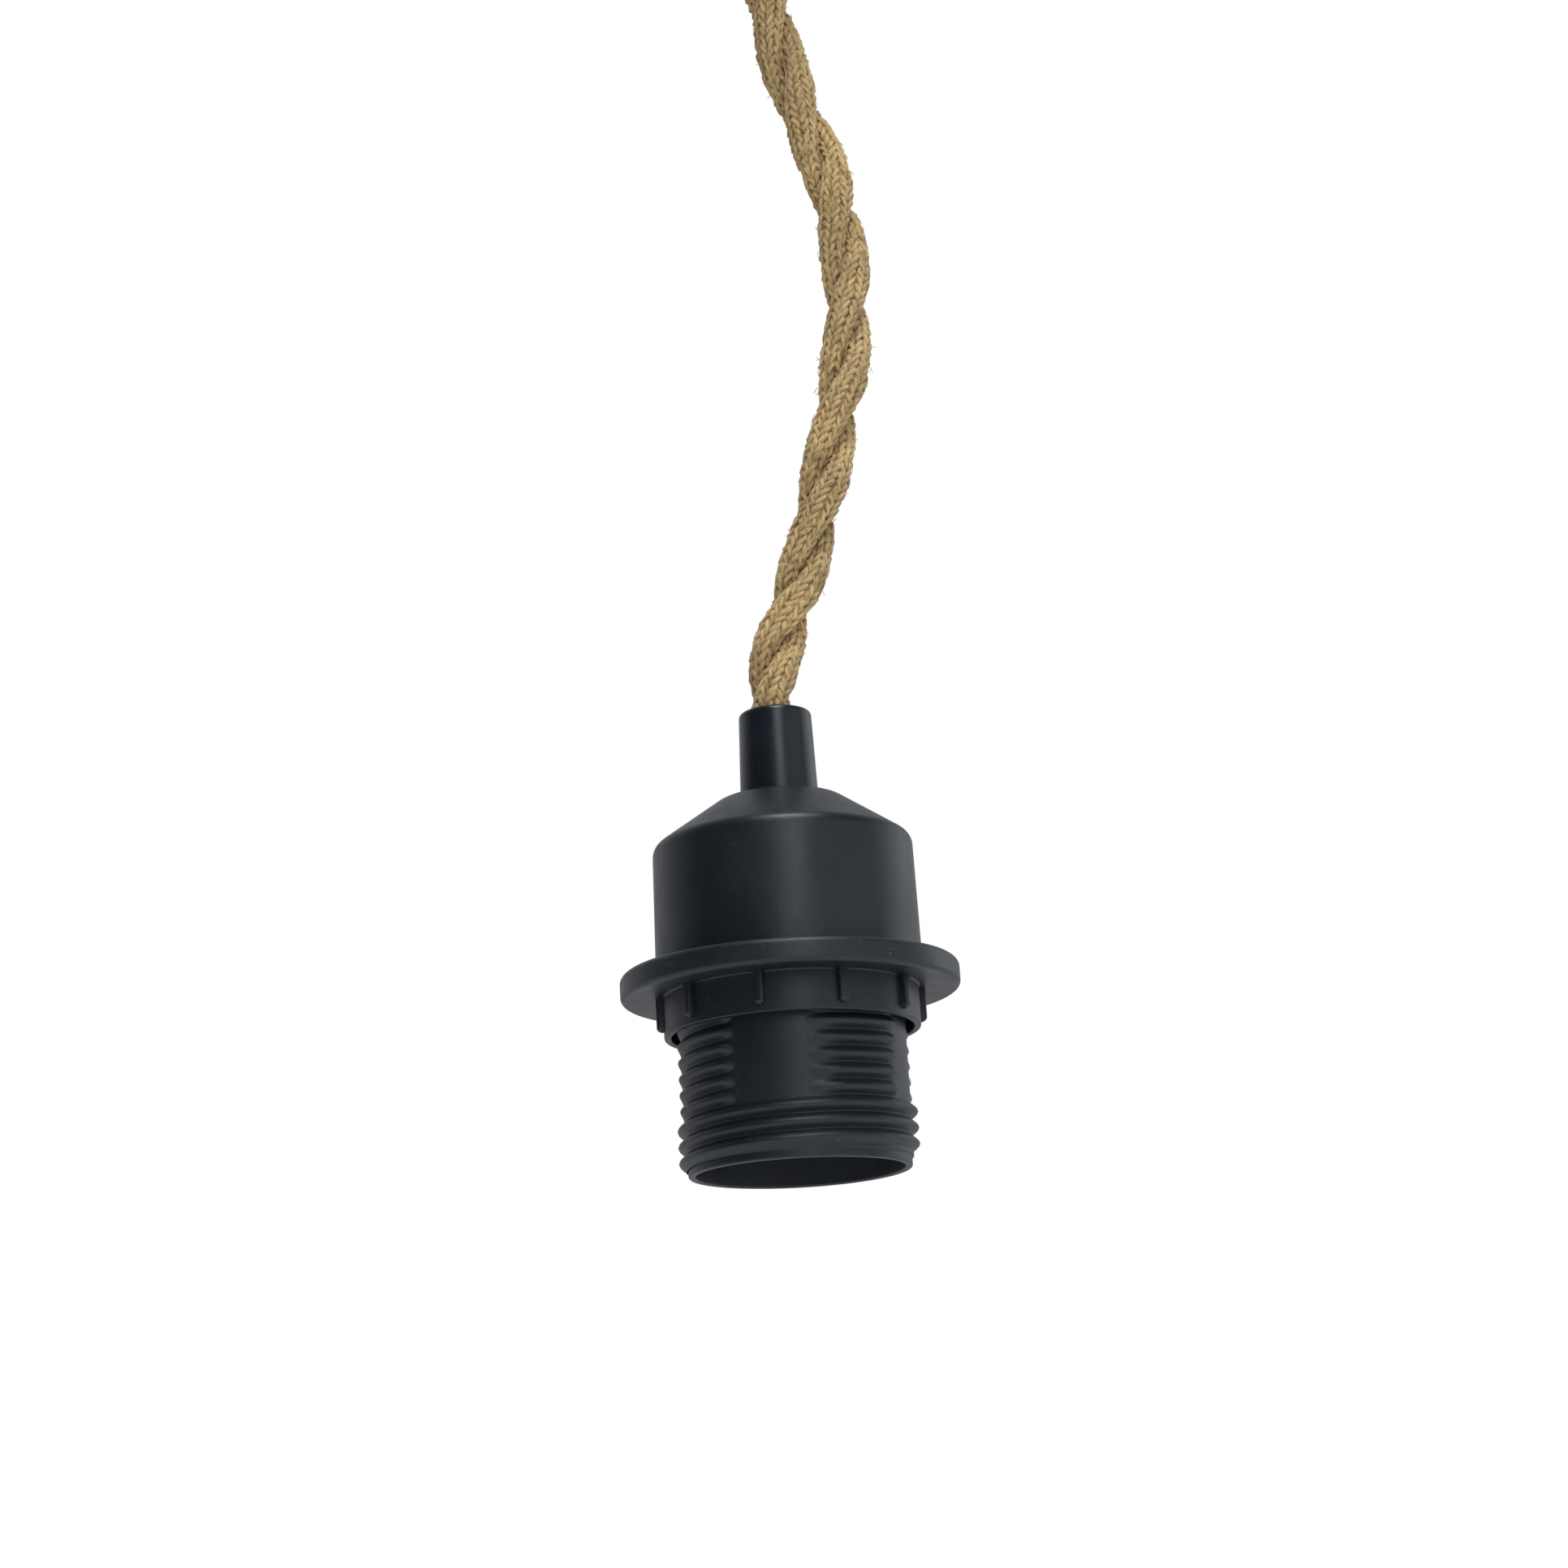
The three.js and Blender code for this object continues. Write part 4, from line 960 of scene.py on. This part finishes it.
skirt_wall = turned(
    "skirt_wall",
    [
        (MOUTH_RADIUS, 0, 0.35),
        (LIP_RADIUS, 0, 0.35),
        (LIP_RADIUS, LIP_HEIGHT, 0.1),
        (SKIRT_RADIUS, LIP_HEIGHT + 0.3, 0.2),
        (SKIRT_RADIUS, LAND_BASE),
        (LAND_RADIUS, LAND_BASE, 0.2),
        (LAND_RADIUS, SKIRT_HEIGHT, 0.3),
        (MOUTH_RADIUS, SKIRT_HEIGHT, 0.3),
        (MOUTH_RADIUS, SLEEVE_FLOOR + SLEEVE_WALL),
        (SLEEVE_RADIUS + SLEEVE_WALL, SLEEVE_FLOOR + SLEEVE_WALL),
        (SLEEVE_RADIUS + SLEEVE_WALL, SLEEVE_TOP, 0.2),
        (SLEEVE_RADIUS, SLEEVE_TOP, 0.2),
        (SLEEVE_RADIUS, SLEEVE_FLOOR, 0.6),
        (MOUTH_RADIUS, SLEEVE_FLOOR, 0.4),
    ],
    moulded_charcoal,
)
outer_thread = mesh_from_tree(
    screw_thread,
    "outer_thread",
    Radius=(SKIRT_RADIUS - THREAD_SINK) * MM,
    Half_Width=THREAD_HALF_WIDTH * MM,
    Height=(LAND_RADIUS - SKIRT_RADIUS + THREAD_SINK) * MM,
    Pitch=THREAD_PITCH * MM,
    Start_Height=MOUTH + THREAD_START * MM,
    Turns=(LAND_BASE - THREAD_START) / THREAD_PITCH,
    Plain_Above=MOUTH + (THREAD_START + UNBROKEN_TURNS * THREAD_PITCH) * MM,
    Material=moulded_charcoal,
)
lamp_thread = mesh_from_tree(
    screw_thread,
    "lamp_thread",
    Radius=SLEEVE_RADIUS * MM,
    Half_Width=LAMP_HALF_WIDTH * MM,
    Height=(LAMP_CREST - SLEEVE_RADIUS) * MM,
    Pitch=LAMP_PITCH * MM,
    Start_Height=MOUTH + (SLEEVE_FLOOR + LAMP_THREAD_MARGIN) * MM,
    Turns=(SLEEVE_TOP - SLEEVE_FLOOR - 2 * LAMP_THREAD_MARGIN) / LAMP_PITCH,
    Material=moulded_charcoal,
)
skirt_mesh = joined("skirt", [skirt_wall, outer_thread, lamp_thread])
skirt = add_piece("skirt", skirt_mesh, ["holder_skirt"])
print("skirt faces:", len(skirt.data.polygons))

# %% [markdown]
# ## The shade ring
#
# A wide flange, a short collar and ten ribs for the fingers, in one moulding. The ribs are alike and stand
# evenly round the collar, so a tree makes one, as a rounded bar with a tapered foot, and sets it on the
# points of a circle.

# %% Rib tree
FOOT_SHARE, THINNEST_FOOT = 0.12, 0.3
CORNER_STEPS, BAR_STEPS = 4, 40


def build_finger_ribs():
    tree, start, end = new_geometry_tree(
        "Finger ribs",
        Count=10,
        Radius=0.0219,
        Phase=0.0,
        Width=0.0014,
        Depth=0.0021,
        Low=0.0,
        High=0.006,
        Rounding=0.0004,
        Material="material",
    )
    size = {"Width": start["Depth"], "Height": start["Width"]}
    section = made(tree, "GeometryNodeCurvePrimitiveQuadrilateral", size, mode="RECTANGLE")
    fillet = {"Curve": section, "Radius": start["Rounding"], "Count": CORNER_STEPS}
    section = made(tree, "GeometryNodeFilletCurve", fillet, mode="POLY")
    ends = {"Start": vector(tree, z=start["Low"]), "End": vector(tree, z=start["High"])}
    line = made(tree, "GeometryNodeCurvePrimitiveLine", ends)
    line = made(tree, "GeometryNodeResampleCurve", {"Curve": line, "Count": BAR_STEPS})
    up_bar = made(tree, "GeometryNodeSplineParameter", part="Factor")
    near_foot = (1.0 - up_bar / FOOT_SHARE).step("MAXIMUM", 0.0)
    round_foot = (1.0 - near_foot**2.0).step("SQRT")
    bar = swept(line, section, round_foot.step("MAXIMUM", THINNEST_FOOT))
    posts = made(tree, "GeometryNodeMeshCircle", {"Vertices": start["Count"], "Radius": start["Radius"]})
    angle = made(tree, "GeometryNodeInputIndex") * (FULL_TURN / start["Count"])
    turn = made(tree, "FunctionNodeEulerToRotation", {"Euler": vector(tree, z=angle)})
    stand = {"Points": posts, "Instance": bar, "Rotation": turn}
    ribs = made(tree, "GeometryNodeInstanceOnPoints", stand)
    swung = {"Geometry": ribs, "Rotation": vector(tree, z=start["Phase"])}
    ribs = made(tree, "GeometryNodeTransform", swung)
    finish_tree(ribs, end, start["Material"])
    return tree


finger_ribs = build_finger_ribs()
print("rib tree:", len(finger_ribs.nodes), "nodes")

# %% Shade ring
RING_TOP, RING_BORE, RING_RADIUS, RING_THICKNESS = 34.3, 20.45, 28.75, 4.4
RING_LEAD_RADIUS, RING_LEAD_DEPTH = 22.9, 0.6
COLLAR_RADIUS, COLLAR_BASE = 21.65, 23.5
RIB_COUNT, RIB_RADIUS, RIB_PHASE, RIB_STOP, RIB_SINK = 10, 22.85, -13.2, 1.1, 1.5
RIB_WIDTH, RIB_DEPTH, RIB_ROUNDING = 1.6, 2.1, 0.45
RING_UNDERSIDE = RING_TOP - RING_THICKNESS

ring_body = turned(
    "ring_body",
    [
        (RING_BORE, COLLAR_BASE, 0.25),
        (COLLAR_RADIUS, COLLAR_BASE, 0.3),
        (COLLAR_RADIUS, RING_UNDERSIDE + 0.5, 0.35),
        (RING_RADIUS, RING_UNDERSIDE, 0.9),
        (RING_RADIUS, RING_TOP, 1.2),
        (RING_LEAD_RADIUS, RING_TOP, 0.2),
        (RING_BORE, RING_TOP - RING_LEAD_DEPTH, 0.2),
    ],
    moulded_charcoal,
)
ribs = mesh_from_tree(
    finger_ribs,
    "ribs",
    Count=RIB_COUNT,
    Radius=(RIB_RADIUS - RIB_DEPTH / 2) * MM,
    Phase=radians(RIB_PHASE - 90),
    Width=RIB_WIDTH * MM,
    Depth=RIB_DEPTH * MM,
    Rounding=RIB_ROUNDING * MM,
    Low=MOUTH + (COLLAR_BASE + RIB_STOP) * MM,
    High=MOUTH + (RING_UNDERSIDE + RIB_SINK) * MM,
    Material=moulded_charcoal,
)
ring_mesh = joined("ring", [ring_body, ribs])
ring = add_piece("shade_ring_moulding", ring_mesh, ["shade_ring"], body="ring")
print("ring faces:", len(ring.data.polygons))

# %% [markdown]
# ## Cap, grips and rose
#
# These are plain turned mouldings. The cap has a satin skin and soft shoulders, and the grips are smoother
# and glossier, as the small part in the photograph is.

# %% Cap
CAP_BASE, CAP_RADIUS, CAP_SHOULDER_RADIUS, CAP_CONE_ANGLE = 34.6, 22.6, 22.2, 34.3
CROWN_RADIUS, CROWN_HEIGHT, CAP_WALL, STUB_HOLE = 10.2, 64.25, 2.0, 5.3
CAP_SLOPE = tan(radians(CAP_CONE_ANGLE))
CAP_SHOULDER = CROWN_HEIGHT - (CAP_SHOULDER_RADIUS - CROWN_RADIUS) * CAP_SLOPE

cap_mesh = turned(
    "cap_moulding",
    [
        (RING_BORE, CAP_BASE, 0.2),
        (CAP_RADIUS, CAP_BASE, 0.35),
        (CAP_SHOULDER_RADIUS, CAP_SHOULDER, 2.3),
        (CROWN_RADIUS, CROWN_HEIGHT, 4.0),
        (STUB_HOLE, CROWN_HEIGHT, 0.15),
        (STUB_HOLE, CROWN_HEIGHT - CAP_WALL),
        (CROWN_RADIUS - 1.0, CROWN_HEIGHT - CAP_WALL),
        (RING_BORE, CAP_SHOULDER - 1.4, 1.0),
    ],
    satin_charcoal,
    steps=192,
)
cap = add_piece("cap", cap_mesh, ["holder_cap"])
print("cap faces:", len(cap.data.polygons), " shoulder at", round(CAP_SHOULDER, 2), "mm over the mouth")

# %% Cord grips
GRIP_LENGTH, GRIP_FOOT, GRIP_MOUTH, GRIP_BORE = 13.5, 6.7, 6.25, 4.9
GRIP_FLOOR, STUB_RADIUS, STUB_BORE, STUB_LENGTH = 3.2, 5.0, 3.3, 7.5
HOLDER_GRIP_LENGTH = 15.2
GRIP_SEAT = 0.3  # how far a grip's foot stands off the face that it sits on


def grip_mesh(name, length=GRIP_LENGTH):
    outline = [
        (STUB_BORE, -STUB_LENGTH, 0.2),
        (STUB_RADIUS, -STUB_LENGTH, 0.4),
        (STUB_RADIUS, 0),
        (GRIP_FOOT, 0, 0.25),
        (GRIP_MOUTH, length, 0.9),
        (GRIP_BORE, length, 0.35),
        (GRIP_BORE, GRIP_FLOOR),
        (STUB_BORE, GRIP_FLOOR),
    ]
    return turned(name, outline, glossy_charcoal, base=0.0, steps=96)


def moved(mesh, *matrices):
    """The mesh after each matrix in turn."""
    for matrix in matrices:
        mesh.transform(matrix)
    mesh.update()
    return mesh


ROSE_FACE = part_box("rose_cup")[0][2]
above_crown = Matrix.Translation((0, 0, MOUTH + (CROWN_HEIGHT + GRIP_SEAT) * MM))
upside_down = Matrix.Rotation(pi, 4, "X")
below_rose = Matrix.Translation((0, 0, ROSE_FACE - GRIP_SEAT * MM))
holder_grip_mesh = moved(grip_mesh("holder_grip_moulding", HOLDER_GRIP_LENGTH), above_crown)
rose_grip_mesh = moved(grip_mesh("rose_grip_moulding"), upside_down, below_rose)
holder_grip = add_piece("cord_grip_holder", holder_grip_mesh, ["holder_grip"])
rose_grip = add_piece("cord_grip_rose", rose_grip_mesh, ["rose_grip"])
print("grip faces:", len(holder_grip.data.polygons), "and", len(rose_grip.data.polygons))

# %% Rose cup
ROSE_RADIUS, ROSE_DEPTH, ROSE_WALL, ROSE_DRAFT, ROSE_EDGE = 45.0, 26.0, 2.0, 1.0, 4.0
rose_mesh = turned(
    "rose_moulding",
    [
        (STUB_HOLE, 0, 0.15),
        (ROSE_RADIUS - ROSE_DRAFT, 0, ROSE_EDGE),
        (ROSE_RADIUS, ROSE_DEPTH, 0.4),
        (ROSE_RADIUS - ROSE_WALL, ROSE_DEPTH, 0.4),
        (ROSE_RADIUS - ROSE_DRAFT - ROSE_WALL, ROSE_WALL, ROSE_EDGE - ROSE_WALL),
        (STUB_HOLE, ROSE_WALL, 0.15),
    ],
    satin_charcoal,
    base=ROSE_FACE,
    steps=192,
)
rose_cup = add_piece("rose_cup_moulding", rose_mesh, ["rose_cup"])
print("rose faces:", len(rose_cup.data.polygons))

# %% [markdown]
# ## The small parts
#
# Screws, contacts, terminals and wires have the right shape already. Each becomes a finished copy of its
# solid: the loose triangles are merged, the sharp edges slightly broken, and the round sides smooth. The
# rose's two long screws also get their thread, from the thread tree with finer numbers.

# %% Fine threads
SCREW_PITCH, SCREW_CORE = 0.7, 1.9
THREAD_SHARE = 0.48  # half the ridge's width and its height, as shares of the pitch
THREAD_FOOT, THREAD_TIP = 1.0, 0.4  # plain lengths at the screw's two ends


def screw_with_thread(name, screw, box, material):
    """A rose screw's mesh with a fine thread round its shank."""
    low, high = box
    foot, tip = ROSE_FACE + (ROSE_WALL + THREAD_FOOT) * MM, high[2] - THREAD_TIP * MM
    ridge = SCREW_PITCH * MM * THREAD_SHARE
    mesh = mesh_from_tree(
        screw_thread,
        name + "_thread",
        Radius=SCREW_CORE * MM,
        Half_Width=ridge,
        Height=ridge,
        Pitch=SCREW_PITCH * MM,
        Start_Height=foot,
        Turns=(tip - foot) / (SCREW_PITCH * MM),
        Steps=32,
        Sides=10,
        Material=material,
    )
    return joined(name, [screw, moved(mesh, Matrix.Translation(((low[0] + high[0]) / 2, 0, 0)))])


print("fine thread:", round(SCREW_PITCH * THREAD_SHARE, 3), "mm high")

# %% Finished copies
BROKEN_EDGE = 0.00012
BROKEN_FROM = radians(50)
BEVEL = {"offset": BROKEN_EDGE, "segments": 2, "profile": 0.5, "affect": "EDGES", "clamp_overlap": True}
WIRES = ["live", "neutral"]
STRIP_SCREWS = [f"strip_screw_{wire}_{side}" for wire in WIRES for side in ("cord", "mains")]
FINISHES = {
    (zinc_plate, "zinc_steel"): [
        "rose_crossbar",
        "rose_grip_nut",
        "holder_grip_nut",
        "cup_screw_left",
        "cup_screw_right",
        "strip_fixing_screw",
        *STRIP_SCREWS,
        *[f"terminal_screw_{wire}" for wire in WIRES],
    ],
    (satin_brass, "brass"): [
        *[f"strip_tube_{wire}" for wire in WIRES],
        "centre_contact",
        "shell_contact",
        *[f"terminal_{wire}" for wire in WIRES],
    ],
    (cream_plastic, "cream_plastic"): ["terminal_strip", "contact_carrier"],
    (glossy_charcoal, "grip_plastic"): ["rose_grip_screw", "holder_grip_screw"],
    (brown_insulation, "wire_brown"): ["rose_wire_live", "holder_wire_live"],
    (blue_insulation, "wire_blue"): ["rose_wire_neutral", "holder_wire_neutral"],
}


def finished_copy(name, material):
    """A solid's mesh, merged, with broken edges where it is sharp and not a wire."""
    shape = bmesh.new()
    shape.from_mesh(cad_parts[name].data)
    bmesh.ops.remove_doubles(shape, verts=shape.verts, dist=1e-6)
    if "wire" not in name:
        sharp = [edge for edge in shape.edges if edge.calc_face_angle(0.0) > BROKEN_FROM]
        bmesh.ops.bevel(shape, geom=sharp, **BEVEL)
    mesh = bpy.data.meshes.new(name)
    shape.to_mesh(mesh)
    shape.free()
    mesh.materials.append(material)
    return smooth_by_angle(mesh, BROKEN_FROM)


for (material, slot), names in FINISHES.items():
    for name in names:
        mesh = finished_copy(name, material)
        if "cup_screw" in name:
            mesh = screw_with_thread(name, mesh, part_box(name), material)
        add_piece(name + "_finished", mesh, [name])
print("small parts finished:", sum(len(names) for names in FINISHES.values()))

# %% [markdown]
# ## Light
#
# The photograph is a studio picture on white. A tall soft light beside the camera draws the pale line
# down the plastic, one above lights the cord and the cap's shoulders, and two large ones at the right
# give that side its pale edges.

# %% Lights
LOOK_AT = Vector((0.0, 0.0, MOUTH + 0.05))
LIGHT_COLOUR = (0.96, 0.99, 1.03)


def soft_light(name, place, size, power):
    data = bpy.data.lights.new(name, "AREA")
    data.shape = "RECTANGLE"
    data.size, data.size_y = size
    data.energy = power
    data.color = LIGHT_COLOUR
    lamp = add_object(name, data)
    turn = (LOOK_AT - Vector(place)).to_track_quat("-Z", "Y").to_matrix().to_4x4()
    lamp.matrix_world = Matrix.Translation(place) @ turn
    return lamp


lamps = [
    soft_light("front", (0.15, -0.96, 0.29), (0.34, 1.32), 4.0),
    soft_light("above", (0.08, -0.4, 0.72), (0.34, 0.4), 5.2),
    soft_light("right_edge", (1.25, 0.58, -0.1), (1.0, 1.2), 2.9),
    soft_light("right", (1.15, -0.75, -0.1), (1.3, 1.2), 3.1),
]
print("soft lights:", len(lamps))

# %% [markdown]
# ## White surroundings
#
# The world is pure white where the camera looks past the object. Mirrored in the plastic it is white only
# behind the object, and its own light is weaker, so that the dark plastic stays dark from the front.

# %% World
WORLD_LIGHT = 0.45
MIRRORED_WHITE = 0.58
WHITE_BEHIND, WHITE_ABOVE = (-0.15, 0.65), (-0.35, 0.0)  # between which the mirrored white fades in


def add_world():
    world = bpy.data.worlds.new("studio")
    world.use_nodes = True
    tree = world.node_tree
    path = add_node(tree, "ShaderNodeLightPath")
    way = made(tree, "ShaderNodeTexCoord", part="Generated")
    ways = add_node(tree, "ShaderNodeSeparateXYZ", {"Vector": way})
    behind = smooth_share(output(ways, "Y"), *WHITE_BEHIND)
    above = smooth_share(output(ways, "Z"), *WHITE_ABOVE)
    seen = output(path, "Is Camera Ray").step("MAXIMUM", output(path, "Is Transmission Ray"))
    glossy = output(path, "Is Glossy Ray")
    lit = glossy * (behind * above * MIRRORED_WHITE) + (1.0 - glossy) * WORLD_LIGHT
    tint = mix_colour(seen, (*LIGHT_COLOUR, 1.0), (1.0, 1.0, 1.0, 1.0))
    feed(tree.nodes["Background"].inputs, Color=tint, Strength=seen.step("MAXIMUM", lit))
    bpy.context.scene.world = world
    return world


world = add_world()
bpy.context.scene.view_settings.view_transform = "Standard"
print("world:", len(world.node_tree.nodes), "nodes")

# %% [markdown]
# A pale floor lies far below the hanging set. It catches the shadow when the set is seen from above, and
# from underneath it can't be seen, because its back is transparent.

# %% Floor
FLOOR_DROP, FLOOR_SIZE = 0.2, 3.0
FLOOR_SEEN, FLOOR_MIRRORED = 0.5, 0.05


def add_floor():
    mesh = bpy.data.meshes.new("floor")
    half, z = FLOOR_SIZE / 2, MOUTH - FLOOR_DROP
    corners = [(-half, -half, z), (half, -half, z), (half, half, z), (-half, half, z)]
    mesh.from_pydata(corners, [], [(0, 1, 2, 3)])
    material, tree, shader = new_material("pale_floor", Roughness=0.8, Specular_IOR_Level=0.2)
    feed(shader, Base_Color=(0.82, 0.82, 0.82, 1.0), Emission_Color=(1.0, 1.0, 1.0, 1.0))
    path = add_node(tree, "ShaderNodeLightPath")
    glow = output(path, "Is Camera Ray") * FLOOR_SEEN + output(path, "Is Glossy Ray") * FLOOR_MIRRORED
    underside = made(tree, "ShaderNodeNewGeometry", part="Backfacing")
    feed(shader, Emission_Strength=glow, Alpha=1.0 - underside)
    mesh.materials.append(material)
    floor_plane = add_object("floor", mesh)
    return floor_plane


floor_plane = add_floor()
print("floor at", round(MOUTH - FLOOR_DROP, 3))

# %% [markdown]
# The route has done its work and goes. The box round the dressed set should be that of the solids.

# %% Removing the route
bpy.data.objects.remove(cord_route)
